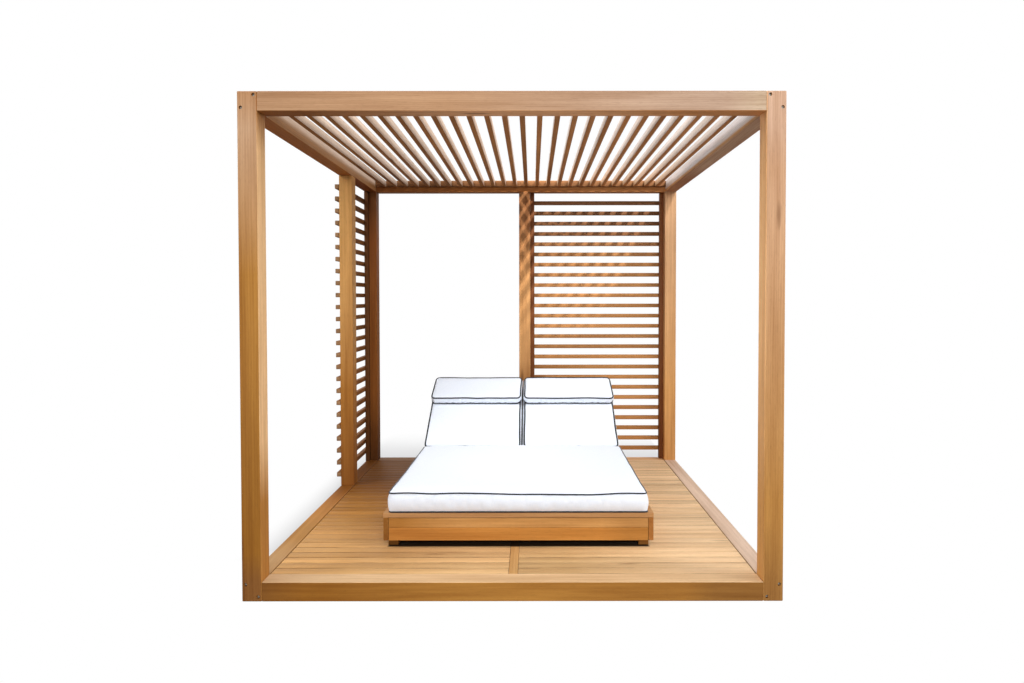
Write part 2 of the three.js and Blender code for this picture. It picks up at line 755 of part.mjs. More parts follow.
function addSeatMattress(group) {
  const width = chaise.width - 2 * mattress.sideSetback;
  const length = chaise.hingeSetback - mattress.rearSetback - mattress.frontSetback;
  const geometry = cushionGeometry({ ...mattress, width, length });
  geometry.translate(-width / 2, mattress.frontSetback, topTop + fit.gap);
  addPiece(group, "seat_mattress", solid(geometry), finishes.fabric);
}

// A back cushion on its backrest. Its lower end slopes, so that it clears the seat when the back is upright.
function backCushionBody([left, right]) {
  const length = backrest.length + backCushion.topInset - backCushion.lowerStart;
  const geometry = cushionGeometry({ ...backCushion, width: right - left, length });
  const position = geometry.attributes.position;
  for (let index = 0; index < position.count; index++) {
    const slope = Math.min(1, position.getZ(index) / (backCushion.thickness * backCushion.bevelShare));
    const remaining = 1 - position.getY(index) / length;
    position.setY(index, position.getY(index) + backCushion.bevel * slope * remaining);
  }
  geometry.translate(left, backCushion.lowerStart, topHalf + fit.gap);
  return solid(geometry);
}

function pillowBody([left, right]) {
  const geometry = cushionGeometry({ ...pillow, width: right - left });
  const start = backrest.length + backCushion.topInset - pillow.length;
  geometry.translate(left, start, topHalf + backCushion.thickness + 2 * fit.gap);
  return solid(geometry);
}

// Each backrest is a group turned about the hinge, and its prop a group turned about the prop's rod.
function addBackrests(group) {
  const rest = THREE.MathUtils.degToRad(backrest.rest);
  for (const { name, sign } of sides) {
    const back = new THREE.Group();
    back.position.set(0, chaise.hingeSetback, hingeZ);
    back.rotation.x = rest;
    group.add(back);
    addPiece(back, `backrest_${name}`, backrestBody(sign), finishes.chaiseTeak);
    const across = span(sign, backCushion.centerGap / 2, chaiseHalf - backCushion.sideSetback);
    addPiece(back, `back_cushion_${name}`, backCushionBody(across), finishes.fabric);
    addPiece(back, `head_pillow_${name}`, pillowBody(across), finishes.fabric);
    const support = new THREE.Group();
    support.position.set(0, pivotAlong, -prop.pivotDrop);
    support.rotation.x = -2 * rest - rackSlope;
    back.add(support);
    addPiece(support, `prop_${name}`, propBody(sign), finishes.chaiseTeak);
    const reach = span(sign, cleats[0].inner + fit.bond, cleats[1].outer - fit.bond);
    const rod = rodAcross(prop.rodRadius, reach, 0, 0);
    addPiece(support, `prop_rod_${name}`, rod, finishes.brightSteel);
  }
}

addPosts(root);
addBeams(root);
addBolts(root);
addDeck(root);
addRoof(root);
addScreens(root);

const lounge = new THREE.Group();
lounge.position.set(chaise.offset, chaiseFront, 0);
root.add(lounge);
addChaiseBox(lounge);
addBearers(lounge);
addSeatFrame(lounge);
addHingeRods(lounge);
addRacks(lounge);
addBackrests(lounge);
addSeatMattress(lounge);

export default root;
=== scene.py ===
# The looks of an outdoor daybed with a canopy: a teak pavilion with a slatted roof and two slatted screens,
# its plank deck, and on the deck a double chaise with piped cushions. All lengths are in metres, in the
# part's own frame: +X to the right seen from the open front, +Y to the rear, +Z up from the ground.
import math
import random

import bpy
import numpy as np
from mathutils import Matrix, Vector


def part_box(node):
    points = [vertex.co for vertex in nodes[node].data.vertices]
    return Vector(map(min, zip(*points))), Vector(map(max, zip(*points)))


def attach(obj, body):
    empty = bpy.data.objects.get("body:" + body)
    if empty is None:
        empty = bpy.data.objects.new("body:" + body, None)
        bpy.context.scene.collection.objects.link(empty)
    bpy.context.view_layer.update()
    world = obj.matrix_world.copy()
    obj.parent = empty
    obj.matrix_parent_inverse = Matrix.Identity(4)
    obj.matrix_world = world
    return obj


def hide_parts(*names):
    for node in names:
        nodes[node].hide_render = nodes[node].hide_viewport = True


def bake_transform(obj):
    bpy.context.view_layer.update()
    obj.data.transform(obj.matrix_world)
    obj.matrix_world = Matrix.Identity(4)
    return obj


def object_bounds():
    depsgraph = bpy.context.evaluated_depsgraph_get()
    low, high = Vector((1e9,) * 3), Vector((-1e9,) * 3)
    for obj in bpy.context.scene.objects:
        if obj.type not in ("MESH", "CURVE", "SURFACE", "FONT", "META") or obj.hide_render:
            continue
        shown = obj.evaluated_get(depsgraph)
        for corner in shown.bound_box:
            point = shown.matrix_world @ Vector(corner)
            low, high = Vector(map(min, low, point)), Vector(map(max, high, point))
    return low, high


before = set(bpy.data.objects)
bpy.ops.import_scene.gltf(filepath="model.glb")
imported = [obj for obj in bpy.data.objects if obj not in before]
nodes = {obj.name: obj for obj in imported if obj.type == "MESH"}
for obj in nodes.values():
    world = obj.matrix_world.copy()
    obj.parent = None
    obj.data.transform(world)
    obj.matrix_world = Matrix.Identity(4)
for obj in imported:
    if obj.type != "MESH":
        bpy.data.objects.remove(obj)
cad_box = [list(corner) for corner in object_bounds()]
scene = bpy.context.scene
scene.view_settings.view_transform = "Standard"
bpy.ops.object.select_all(action="DESELECT")


# The camera stands before the open front at a standing person's eye level, close by and with a wide lens.
# The frame of the image lies a little off the lens's axis, which the two shifts give.
camera_data = bpy.data.cameras.new("camera")
camera_data.lens = 22.23
camera_data.shift_x = -0.0202
camera_data.shift_y = -0.0294
camera = bpy.data.objects.new("camera", camera_data)
camera.location = (0.1135, -4.29, 1.4845)
camera.rotation_euler = (math.radians(90 - 1.228), math.radians(0.053), math.radians(-0.03))
scene.collection.objects.link(camera)
scene.camera = camera


# The studio: white all round, and a white floor that is grey in a band beside the deck's left side and rear,
# as painted shade that fades to white farther off and that the object's real shadow darkens further. Large
# lamps stand high up at the right, at the left and in front, weak ones over the roof and behind, and two
# spots shine through the roof's slats.
FLOOR_SIZE = 80
FLOOR_DROP = 0.0006
FLOOR_WHITE_SHARE = 0.5  # of the camera's view of the floor beside the deck, that no shadow darkens
FLOOR_WHITE_REACH = (0.26, 1.5, 1)  # from the deck's sides and rear, where the floor is all white
FLOOR_WHITE_FROM = [("X", 1.2, 1.36), ("Y", -0.35, -0.75)]  # where it turns white at the right and in front
# painted shade: the grey that the floor mixes in near the deck, under its white share, before any real shadow
FLOOR_SHADE_GREY = (0.5, 0.5, 0.5, 1)
FLOOR_BOUNCE = (0.3, 0.3, 0.3, 1)  # for the light that it throws back on the object
WORLD_COLOR = (0.92, 0.97, 1.06, 1)
WORLD_LIGHT = 0.316
WHITE = (1, 1, 1, 1)


def add_node(tree, kind, inputs=(), **settings):
    """Adds a node, sets its options, and gives each named input a value or a link."""
    node = tree.nodes.new(kind)
    for setting, value in settings.items():
        setattr(node, setting, value)
    for socket, value in dict(inputs).items():
        if isinstance(value, bpy.types.NodeSocket):
            tree.links.new(value, node.inputs[socket])
        else:
            node.inputs[socket].default_value = value
    return node


def math_node(tree, operation, first, second=0.0):
    """One sum of two values, as the socket of its result."""
    return add_node(tree, "ShaderNodeMath", {0: first, 1: second}, operation=operation).outputs[0]


def vector_node(tree, operation, first, second=(0, 0, 0), result="Vector"):
    """One sum of two vectors, as the socket of its result."""
    inputs = {0: first, 1: second}
    return add_node(tree, "ShaderNodeVectorMath", inputs, operation=operation).outputs[result]


def range_node(tree, value, low, high, to_low=0.0, to_high=1.0, **settings):
    """Carries a value from one range over to another, and stops at its ends."""
    inputs = {"Value": value, "From Min": low, "From Max": high, "To Min": to_low, "To Max": to_high}
    return add_node(tree, "ShaderNodeMapRange", inputs, **settings).outputs[0]


def axes_node(tree, vector):
    """The sockets X, Y and Z of a vector."""
    return add_node(tree, "ShaderNodeSeparateXYZ", {0: vector}).outputs


def mix_shaders(tree, share, first, second):
    """Mixes two shader nodes and gives the node of the result."""
    return add_node(tree, "ShaderNodeMixShader", {0: share, 1: first.outputs[0], 2: second.outputs[0]})


def new_material(name):
    """A material with a Principled BSDF, its node tree, and that shader."""
    material = bpy.data.materials.new(name)
    material.use_nodes = True
    return material, material.node_tree, material.node_tree.nodes["Principled BSDF"]


bpy.ops.mesh.primitive_plane_add(size=FLOOR_SIZE, location=(0, 0, -FLOOR_DROP))
floor = bpy.context.object
floor.name = "floor"
floor_material, tree, _ = new_material("studio floor")
tree.nodes.clear()
place = add_node(tree, "ShaderNodeTexCoord").outputs["Object"]
outside = vector_node(tree, "SUBTRACT", vector_node(tree, "ABSOLUTE", place), (*cad_box[1][:2], 0))
outside = vector_node(tree, "MAXIMUM", vector_node(tree, "DIVIDE", outside, FLOOR_WHITE_REACH))
reach = vector_node(tree, "LENGTH", outside, result="Value")
white_share = range_node(tree, reach, 0, 1, FLOOR_WHITE_SHARE, 1, interpolation_type="SMOOTHSTEP")
for way, low, high in FLOOR_WHITE_FROM:
    beyond = range_node(tree, axes_node(tree, place)[way], low, high)
    white_share = math_node(tree, "MAXIMUM", white_share, beyond)
shaded = add_node(tree, "ShaderNodeBsdfDiffuse", {"Color": FLOOR_SHADE_GREY})
white = add_node(tree, "ShaderNodeEmission", {"Color": WHITE, "Strength": 1.0})
bounce = add_node(tree, "ShaderNodeBsdfDiffuse", {"Color": FLOOR_BOUNCE})
rays = add_node(tree, "ShaderNodeLightPath").outputs
floor_mix = mix_shaders(tree, rays["Is Camera Ray"], bounce, mix_shaders(tree, white_share, shaded, white))
add_node(tree, "ShaderNodeOutputMaterial", {"Surface": floor_mix.outputs[0]})
floor.data.materials.append(floor_material)

world = bpy.data.worlds.new("studio")
world.use_nodes = True
scene.world = world
tree = world.node_tree
tree.nodes.clear()
rays = add_node(tree, "ShaderNodeLightPath").outputs
seen = math_node(tree, "MAXIMUM", rays["Is Camera Ray"], rays["Is Glossy Ray"])
seen = math_node(tree, "MAXIMUM", seen, rays["Is Transmission Ray"])
light = add_node(tree, "ShaderNodeBackground", {"Color": WORLD_COLOR, "Strength": WORLD_LIGHT})
backdrop = add_node(tree, "ShaderNodeBackground", {"Color": WHITE, "Strength": 1.0})
add_node(tree, "ShaderNodeOutputWorld", {"Surface": mix_shaders(tree, seen, light, backdrop).outputs[0]})

LAMPS = [
    {"name": "right lamp", "place": (5.4, -1.6, 5.4), "aim": (0, 0.1, 1.2), "size": 3.0, "power": 292},
    {"name": "left lamp", "place": (-5.4, -1.6, 5.4), "aim": (0, 0.1, 1.8), "size": 3.0, "power": 224},
    {"name": "front lamp", "place": (0.9, -6.6, 3.4), "aim": (0, 0, 1.1), "size": 2.6, "power": 266},
    {"name": "top lamp", "place": (0.4, -0.4, 6.0), "aim": (0, 0.2, 0), "size": 4.0, "power": 8},
    {"name": "rear lamp", "place": (-1.4, 5.8, 5.0), "aim": (0, 0.6, 1), "size": 3.0, "power": 75},
]
SPOTS = [  # narrow ones that shine down through the roof's slats on what stands at the rear
    {"name": "right spot", "place": (3.1, -2.3, 6.5), "aim": (0.6, 1.15, 2.35), "cone": 15, "power": 3000},
    {"name": "left spot", "place": (-2.5, -2.3, 6.5), "aim": (-0.05, 1.15, 2.35), "cone": 10, "power": 1700},
]
SPOT_RADIUS = 0.1
SPOT_BLEND = 0.7  # the share of its cone in which a spot fades out
for lamp in LAMPS + SPOTS:
    lamp_data = bpy.data.lights.new(lamp["name"], "AREA" if "size" in lamp else "SPOT")
    if "size" in lamp:
        lamp_data.size = lamp["size"]
    else:
        lamp_data.spot_size = math.radians(lamp["cone"])
        lamp_data.spot_blend = SPOT_BLEND
        lamp_data.shadow_soft_size = SPOT_RADIUS
    lamp_data.energy = lamp["power"]
    lamp_object = bpy.data.objects.new(lamp["name"], lamp_data)
    lamp_object.location = lamp["place"]
    aim = Vector(lamp["aim"]) - Vector(lamp["place"])
    lamp_object.rotation_euler = aim.to_track_quat("-Z", "Y").to_euler()
    scene.collection.objects.link(lamp_object)


# The posts and beams are planed teak, 95 mm square, with eased edges. They are the CAD pieces themselves,
# each in its own board of teak, light and rather pink above and golden below, with light and shade painted
# into its tone along it and on some of its faces.
def srgb(red, green, blue):
    """A colour given as it is seen, 0 to 255, as the linear value that a node takes."""
    return (*[((channel / 255 + 0.055) / 1.055) ** 2.4 for channel in (red, green, blue)], 1)


def mix_node(tree, share, first, second):
    """Mixes two colours and gives the socket of the result."""
    return add_node(tree, "ShaderNodeMix", {0: share, 6: first, 7: second}, data_type="RGBA").outputs[2]


def stretch_node(tree, vector, scale):
    """Scales the places of a pattern along each axis."""
    return vector_node(tree, "MULTIPLY", vector, scale)


def noise_node(tree, place, scale, detail, **inputs):
    """Noise that is stretched along each axis, from 0 to 1."""
    inputs = {"Vector": stretch_node(tree, place, scale), "Scale": 1, "Detail": detail, **inputs}
    return add_node(tree, "ShaderNodeTexNoise", inputs).outputs["Fac"]


def new_group(name, inputs, outputs):
    """A node group with named sockets, and the sockets of what it is given."""
    group = bpy.data.node_groups.new(name, "ShaderNodeTree")
    for direction, sockets in (("INPUT", inputs), ("OUTPUT", outputs)):
        for socket, kind in sockets.items():
            group.interface.new_socket(socket, in_out=direction, socket_type=f"NodeSocket{kind}")
    return group, group.nodes.new("NodeGroupInput").outputs


def teak_grain_group():
    """Teak with its grain along X: growth rings, broad bands, fibres, pores, knots and darker end grain."""
    group, given = new_group(
        "teak grain",
        {
            "Place": "Vector",
            "Board": "Float",
            "Pale": "Color",
            "Deep": "Color",
            "End Grain": "Float",
            "Edge": "Float",
        },
        {"Color": "Color", "Roughness": "Float", "Height": "Float"},
    )
    chance = add_node(group, "ShaderNodeTexWhiteNoise", {"W": given["Board"]}, noise_dimensions="1D")
    centered = vector_node(group, "SUBTRACT", chance.outputs["Color"], (0.5, 0.5, 0.5))
    place = vector_node(group, "ADD", given["Place"], stretch_node(group, centered, (30, 0.6, 0.6)))

    inputs = {"Vector": stretch_node(group, place, (0.2, 1, 1)), "Scale": 34, "Distortion": 9}
    inputs.update({"Detail": 2, "Detail Scale": 0.14, "Detail Roughness": 0.45})
    rings = add_node(group, "ShaderNodeTexWave", inputs, wave_type="RINGS", rings_direction="X")
    rings = rings.outputs["Fac"]
    bands, streaks, fibres, pores, gap_shade = [
        noise_node(group, place, scale, detail, Roughness=0.6)
        for scale, detail in [
            ((0.7, 9, 9), 3),
            ((1.5, 52, 52), 3),
            ((7, 260, 260), 3),
            ((26, 620, 620), 1),
            ((3.5, 11, 11), 2),
        ]
    ]
    bands = range_node(group, bands, 0.32, 0.68)
    streaks = range_node(group, streaks, 0.3, 0.7)
    pores = range_node(group, pores, 0.6, 0.7)
    cells = {"Vector": stretch_node(group, place, (1.1, 6, 6)), "Scale": 1}
    cells = add_node(group, "ShaderNodeTexVoronoi", cells).outputs["Distance"]
    knots = range_node(group, cells, 0.035, 0.1, 1, 0)

    share = math_node(group, "MULTIPLY", rings, 0.12)
    for grain, weight in [(bands, 0.44), (streaks, 0.38), (fibres, 0.16)]:
        share = math_node(group, "ADD", share, math_node(group, "MULTIPLY", grain, weight))
    color = mix_node(group, share, given["Deep"], given["Pale"])
    tone = range_node(group, chance.outputs["Value"], 0, 1, 0.8, 1.14)
    color = add_node(group, "ShaderNodeVectorMath", {0: color, "Scale": tone}, operation="SCALE").outputs[0]
    color = mix_node(group, math_node(group, "MULTIPLY", pores, 0.22), color, srgb(96, 58, 28))
    color = mix_node(group, math_node(group, "MULTIPLY", knots, 0.55), color, srgb(88, 50, 24))
    end_color = mix_node(group, rings, srgb(84, 50, 26), srgb(128, 82, 46))
    color = mix_node(group, math_node(group, "MULTIPLY", given["End Grain"], 0.85), color, end_color)
    # Painted shade: the boards' eased edges darken beside the gaps between them, unevenly along each edge and
    # from board to board.
    gap_shade = range_node(group, gap_shade, 0.38, 0.6, 0.05, 1)
    gap_shade_strength = add_node(group, "ShaderNodeSeparateColor", {0: chance.outputs["Color"]}).outputs["Green"]
    gap_shade = math_node(group, "MULTIPLY", gap_shade, range_node(group, gap_shade_strength, 0.25, 0.6, 0.15, 1))
    color = mix_node(group, math_node(group, "MULTIPLY", given["Edge"], gap_shade), color, srgb(62, 36, 16))

    roughness = range_node(group, fibres, 0.3, 0.7, 0.5, 0.64)
    roughness = math_node(group, "ADD", roughness, math_node(group, "MULTIPLY", given["End Grain"], 0.2))
    height = math_node(group, "ADD", math_node(group, "MULTIPLY", rings, 0.35), fibres)
    height = math_node(group, "SUBTRACT", height, pores)
    add_node(group, "NodeGroupOutput", {"Color": color, "Roughness": roughness, "Height": height})
    return group


TEAK_GRAIN = teak_grain_group()
ALONG_X, ALONG_Y, ALONG_Z = [(0, 0, 0)], [(0, 0, -90)], [(0, 90, 0)]  # turns of the grain, in degrees
LEFTWARD, RIGHTWARD, FRONTWARD, DOWNWARD, UPWARD = (-1, 0, 0), (1, 0, 0), (0, -1, 0), (0, 0, -1), (0, 0, 1)
TEAK_SHINE = 0.1
TEAK_BUMP = {"Strength": 0.35, "Distance": 0.0006}
END_FACING = 0.8  # how squarely a face lies across the grain to show its end
SIDE_FACING = (0.3, 0.8)  # how squarely a face looks a way where its own tone starts, and where it is full
TONE_SPREAD = (0.3, 0.4, 0.5)  # of red, green and blue, to both sides of a board's colour


def tones(red, green, blue):
    """A pale and a deep tone of teak round one colour. The deep one is the more golden."""
    channels = list(zip(srgb(red, green, blue), TONE_SPREAD))
    return [(*[channel * (1 + way * spread) for channel, spread in channels], 1) for way in (1, -1)]


def tone_sockets(tree, place, tone):
    """A pale and a deep tone of teak for a colour, or for a list of a colour and its changes along the piece.
    A change gives an axis, the two places on it between which it happens, and the colour that follows."""
    first, *changes = tone if isinstance(tone, list) else [tone]
    pair = tones(*first)
    for axis, start, end, other in changes:
        share = range_node(tree, axes_node(tree, place)[axis], start, end)
        pair = [mix_node(tree, share, *ends) for ends in zip(pair, tones(*other))]
    return pair


def turned(tree, vector, turns, kind):
    """Turns a vector so that the grain runs along X, by the second turn on boards marked as crossed."""
    ways = []
    for degrees in turns:
        inputs = {"Vector": vector, "Rotation": [math.radians(angle) for angle in degrees]}
        ways.append(add_node(tree, "ShaderNodeMapping", inputs, vector_type=kind).outputs[0])
    if len(ways) == 1:
        return ways[0]
    crossed = add_node(tree, "ShaderNodeAttribute", attribute_name="crossed").outputs["Fac"]
    inputs = {0: crossed, 4: ways[0], 5: ways[1]}
    return add_node(tree, "ShaderNodeMix", inputs, data_type="VECTOR").outputs[1]


def teak(name, turns, tone, board=None, facings=(), ends=True):
    """Teak of one tone, or of one that changes along the piece. Board is one board's own number, or else each
    board's number and its eased edges, where shade is painted beside the gaps, are read from the mesh.
    Facings give another tone where the wood faces a direction, mostly painted light and shade. The ends that
    show have the darker end grain."""
    material, tree, shader = new_material(name)
    coordinates = add_node(tree, "ShaderNodeTexCoord").outputs
    place, normal = coordinates["Object"], coordinates["Normal"]
    inputs = {"Place": turned(tree, place, turns, "POINT"), "Board": board}
    if ends:
        facing = axes_node(tree, turned(tree, normal, turns, "VECTOR"))["X"]
        inputs["End Grain"] = math_node(tree, "GREATER_THAN", math_node(tree, "ABSOLUTE", facing), END_FACING)
    if board is None:
        for socket in ("Board", "Edge"):
            attribute = add_node(tree, "ShaderNodeAttribute", attribute_name=socket.lower())
            inputs[socket] = attribute.outputs["Fac"]
    pair = tone_sockets(tree, place, tone)
    for direction, tone_there in dict(facings).items():
        toward = vector_node(tree, "DOT_PRODUCT", normal, direction, result="Value")
        share = range_node(tree, toward, *SIDE_FACING)
        pair = [mix_node(tree, share, *ends) for ends in zip(pair, tone_sockets(tree, place, tone_there))]
    inputs["Pale"], inputs["Deep"] = pair
    grain = add_node(tree, "ShaderNodeGroup", inputs, node_tree=TEAK_GRAIN).outputs
    bump = add_node(tree, "ShaderNodeBump", {"Height": grain["Height"], **TEAK_BUMP}).outputs[0]
    tree.links.new(grain["Color"], shader.inputs["Base Color"])
    tree.links.new(grain["Roughness"], shader.inputs["Roughness"])
    tree.links.new(bump, shader.inputs["Normal"])
    shader.inputs["Specular IOR Level"].default_value = TEAK_SHINE
    return material


def dress(node_name, material):
    """Gives a CAD piece its finished material."""
    node = nodes[node_name]
    node.data.materials.clear()
    node.data.materials.append(material)


# Painted light and shade: each post's tone is darker towards its foot, on some also under the beams, and a
# side that light falls on has a paler tone of its own.
POSTS = {  # the tone of each post from its foot upwards, and that of the side where it has another
    "post_front_left": (
        [
            (131, 84, 40),
            ("Z", 0.1, 0.24, (146, 94, 34)),
            ("Z", 0.3, 1.35, (168, 115, 52)),
            ("Z", 1.6, 2.3, (189, 150, 116)),
            ("Z", 2.3, 2.47, (172, 127, 88)),
        ],
        {RIGHTWARD: [(165, 112, 54), ("Z", 0.48, 0.78, (220, 177, 127)), ("Z", 2.2, 2.42, (150, 92, 30))]},
    ),
    "post_front_right": (
        [
            (153, 105, 53),
            ("Z", 0.05, 0.4, (184, 131, 68)),
            ("Z", 0.5, 2.0, (193, 150, 115)),
            ("Z", 2.1, 2.3, (198, 160, 132)),
        ],
        {LEFTWARD: [(202, 147, 84), ("Z", 0.45, 1.3, (238, 183, 125))]},
    ),
    "post_rear_left": (
        [
            (100, 58, 24),
            ("Z", 0.1, 0.7, (153, 91, 37)),
            ("Z", 1.2, 2.3, (176, 104, 52)),
            ("Z", 1.95, 2.25, (142, 88, 46)),
        ],
        {},
    ),
    "post_rear_right": ([(206, 149, 89), ("Z", 0.7, 2.1, (212, 166, 123))], {}),
    "post_rear_middle": (
        [(162, 112, 64), ("Z", 0.8, 0.95, (189, 136, 84)), ("Z", 1.6, 2.1, (132, 88, 53))],
        {},
    ),
    "post_left_middle": (
        [(137, 84, 34), ("Z", 0.19, 0.75, (166, 109, 47)), ("Z", 0.8, 1.45, (203, 150, 87))],
        {},
    ),
}
for number, (post, (tone, other_faces)) in enumerate(POSTS.items()):
    dress(post, teak(f"{post} teak", ALONG_Z, tone, board=number + 1.5, facings=other_faces))

TOP_SIDE, OUTER_SIDE, BASE_TONE = (150, 100, 54), (165, 116, 70), (151, 103, 48)
# Painted light and shade: the beams' tones change along them, and their tops, undersides and sides have tones
# of their own, paler where light falls and darker in shade.
BEAMS = {  # the way of the grain, the tone of each beam, and those of its faces that have another
    "beam_top_front": (
        ALONG_X,
        [(171, 130, 95), ("X", -0.3, 1.0, (174, 144, 121)), ("X", 1.05, 1.2, (184, 158, 131))],
        {
            DOWNWARD: [(132, 80, 34), ("X", -1.0, -0.2, (220, 164, 116)), ("X", 0.3, 0.9, (188, 128, 76))],
            UPWARD: TOP_SIDE,
        },
    ),
    "beam_top_rear": (ALONG_X, [(174, 109, 55), ("X", -0.1, 0.6, (196, 131, 76))], {UPWARD: TOP_SIDE}),
    "beam_top_left": (
        ALONG_Y,
        # painted light: paler in a band on the inner face, where daylight falls between the roof's slats
        [(206, 150, 94), ("Z", 2.418, 2.452, (206, 180, 158))],  # paler beside the roof's slats
        {
            LEFTWARD: OUTER_SIDE,
            DOWNWARD: [(176, 106, 48), ("Y", 0.1, 0.6, (146, 78, 28))],
            UPWARD: TOP_SIDE,
        },
    ),
    "beam_top_right": (
        ALONG_Y,
        # painted light: a whitish band on the inner face, where daylight falls between the roof's slats
        [(216, 166, 112), ("Z", 2.4, 2.414, (244, 236, 233))],
        {
            RIGHTWARD: OUTER_SIDE,
            DOWNWARD: [(201, 160, 128), ("Y", 0.0, 0.6, (178, 122, 84))],
            UPWARD: TOP_SIDE,
        },
    ),
    "beam_base_front": (
        ALONG_X,
        [
            (130, 82, 34),
            ("X", -1.2, -1.0, (149, 95, 34)),
            ("X", -0.9, -0.2, (173, 118, 52)),
            ("X", 0.2, 0.8, (160, 107, 46)),
            ("X", 0.85, 1.0, (142, 95, 44)),
        ],
        {UPWARD: (206, 169, 126)},
    ),
    "beam_base_rear": (ALONG_X, BASE_TONE, {UPWARD: (208, 161, 114)}),
    "beam_base_left": (
        ALONG_Y,
        BASE_TONE,
        {UPWARD: [(194, 150, 100), ("Y", -0.95, -0.65, (178, 124, 62)), ("Y", -0.5, 0.1, (206, 133, 56))]},
    ),
    "beam_base_right": (ALONG_Y, BASE_TONE, {UPWARD: (198, 169, 145)}),
}
for number, (beam, (turns, tone, other_faces)) in enumerate(BEAMS.items()):
    dress(beam, teak(f"{beam} teak", turns, tone, board=number + 11.5, facings=other_faces))


# The corner bolts: dull steel socket heads, sunk in their counterbores in the front faces. Each head has a
# rounded rim and a round socket, and sits where its CAD bolt sits.
SOCKET_SHARE = 0.52  # of the head's radius, to the socket's corners
HEAD_HEIGHT = 0.008
SHANK_RADIUS = 0.004
SOCKET_DEPTH = 0.004
RIM_EASE = 0.0009
BOLT_SIDES = 24
SHARP_ANGLE = math.radians(35)  # from which an edge isn't shaded smooth


def steel(name, marks, dark, light, smooth, metallic):
    """Steel with stains or scratches in its tone and its gloss. Marks give their scale and detail."""
    material, tree, shader = new_material(name)
    marks = noise_node(tree, add_node(tree, "ShaderNodeTexCoord").outputs["Object"], *marks)
    tree.links.new(mix_node(tree, marks, srgb(*dark), srgb(*light)), shader.inputs["Base Color"])
    tree.links.new(range_node(tree, marks, 0.3, 0.7, smooth, 0.42), shader.inputs["Roughness"])
    shader.inputs["Metallic"].default_value = metallic
    return material


bolt_steel = steel("bolt steel", ((260, 260, 260), 4), (132, 127, 116), (190, 184, 170), 0.24, 0.3)


def select_end(bolt, way):
    """Selects the end face of a bolt that looks to the front, -1, or to the rear, 1."""
    bpy.ops.object.mode_set(mode="OBJECT")
    for face in bolt.data.polygons:
        face.select = face.normal.y * way > 0.9 and len(face.vertices) == BOLT_SIDES
    bpy.ops.object.mode_set(mode="EDIT")


def bolt_head(name, radius, front, rear, x, z):
    """A socket-head bolt whose head starts at the front and whose shank ends at the rear, along Y."""
    bpy.ops.object.select_all(action="DESELECT")
    bpy.ops.mesh.primitive_cylinder_add(
        vertices=BOLT_SIDES,
        radius=radius,
        depth=HEAD_HEIGHT,
        location=(x, front + HEAD_HEIGHT / 2, z),
        rotation=(math.pi / 2, 0, 0),
    )
    bolt = bpy.context.object
    bolt.name = name
    bpy.ops.object.transform_apply()
    bpy.ops.object.mode_set(mode="EDIT")
    bpy.ops.mesh.select_mode(type="FACE")
    bpy.ops.mesh.select_all(action="DESELECT")
    select_end(bolt, 1)
    bpy.ops.mesh.inset(thickness=radius - SHANK_RADIUS, depth=0)
    bpy.ops.mesh.extrude_region_move(TRANSFORM_OT_translate={"value": (0, rear - front - HEAD_HEIGHT, 0)})
    select_end(bolt, -1)
    bpy.ops.mesh.bevel(offset=RIM_EASE, segments=2)
    select_end(bolt, -1)
    bpy.ops.mesh.inset(thickness=radius * (1 - SOCKET_SHARE) - RIM_EASE, depth=0)
    bpy.ops.mesh.extrude_region_move(TRANSFORM_OT_translate={"value": (0, SOCKET_DEPTH, 0)})
    bpy.ops.object.mode_set(mode="OBJECT")
    bpy.ops.object.shade_smooth_by_angle(angle=SHARP_ANGLE)
    bolt.data.materials.append(bolt_steel)
    bolt.select_set(False)
    return bolt


for name in sorted(node for node in nodes if node.startswith("bolt_")):
    low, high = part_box(name)
    middle = (low + high) / 2
    head = bolt_head(f"{name}_head", (high.x - low.x) / 2, low.y, high.y, middle.x, middle.z)
    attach(head, "root")
    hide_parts(name)


# The deck: teak planks that run from side to side, each with rounded long edges and a tone of its own, laid
# on joists with a narrow gap between them, in two bays beside a middle rail.
PLANKS = 33
PLANK_GAP = 0.0022
PLANK_THICKNESS = 0.022
PLANK_EASE = 0.003
JOISTS = 4
JOIST_WIDTH = 0.045
JOIST_PITCH = 0.3
JOIST_DROP = 0.0005  # below the planks
LARGEST_SINK = 0.0004  # of single planks below the deck's top
# Each bay's tone, with painted light and shade: the left bay darker towards the rear and paler towards the
# middle, the right bay paler towards its right.
DECK_TONES = {
    "left": [(206, 156, 97), ("X", -0.9, -0.2, (220, 177, 124)), ("Y", -0.75, -0.2, (188, 130, 62))],
    "right": [(195, 156, 107), ("X", 0.3, 0.95, (218, 181, 138))],
}
# Painted shade: teak in shadow, mixed in beside the left screen and the chaise, and a near black shadow
# painted under the chaise.
SHADE_TEAK, UNDER_CHAISE_SHADOW = srgb(100, 55, 16), srgb(20, 10, 4)  # teak that the sun doesn't reach
CHAISE_SHADE, CHAISE_SHADE_REACH = 0.97, 0.012  # under the chaise, and how far it reaches in front of it
CHAISE_SHADE_INSET = 0.03  # from its sides
CHAISE_SHADE_FADE = (0.1, 0.5, 1, 0.45)  # from its front to the rear: two places, and the shares left there
SIDE_SHADE, SIDE_SHADE_REACH = 0.3, 0.32  # on the deck beside the chaise
SCREEN_SHADE = 0.8  # beside the left screen
SCREEN_SHADE_X, SCREEN_SHADE_Y = (0.2, -0.6), (-0.3, 0.3)  # where it starts and where it is full
# painted shade beside the gaps between boards: the width from a board's edge that darkens
EDGE_SHADE_WIDTH = 0.0021
chance = random.Random(4)


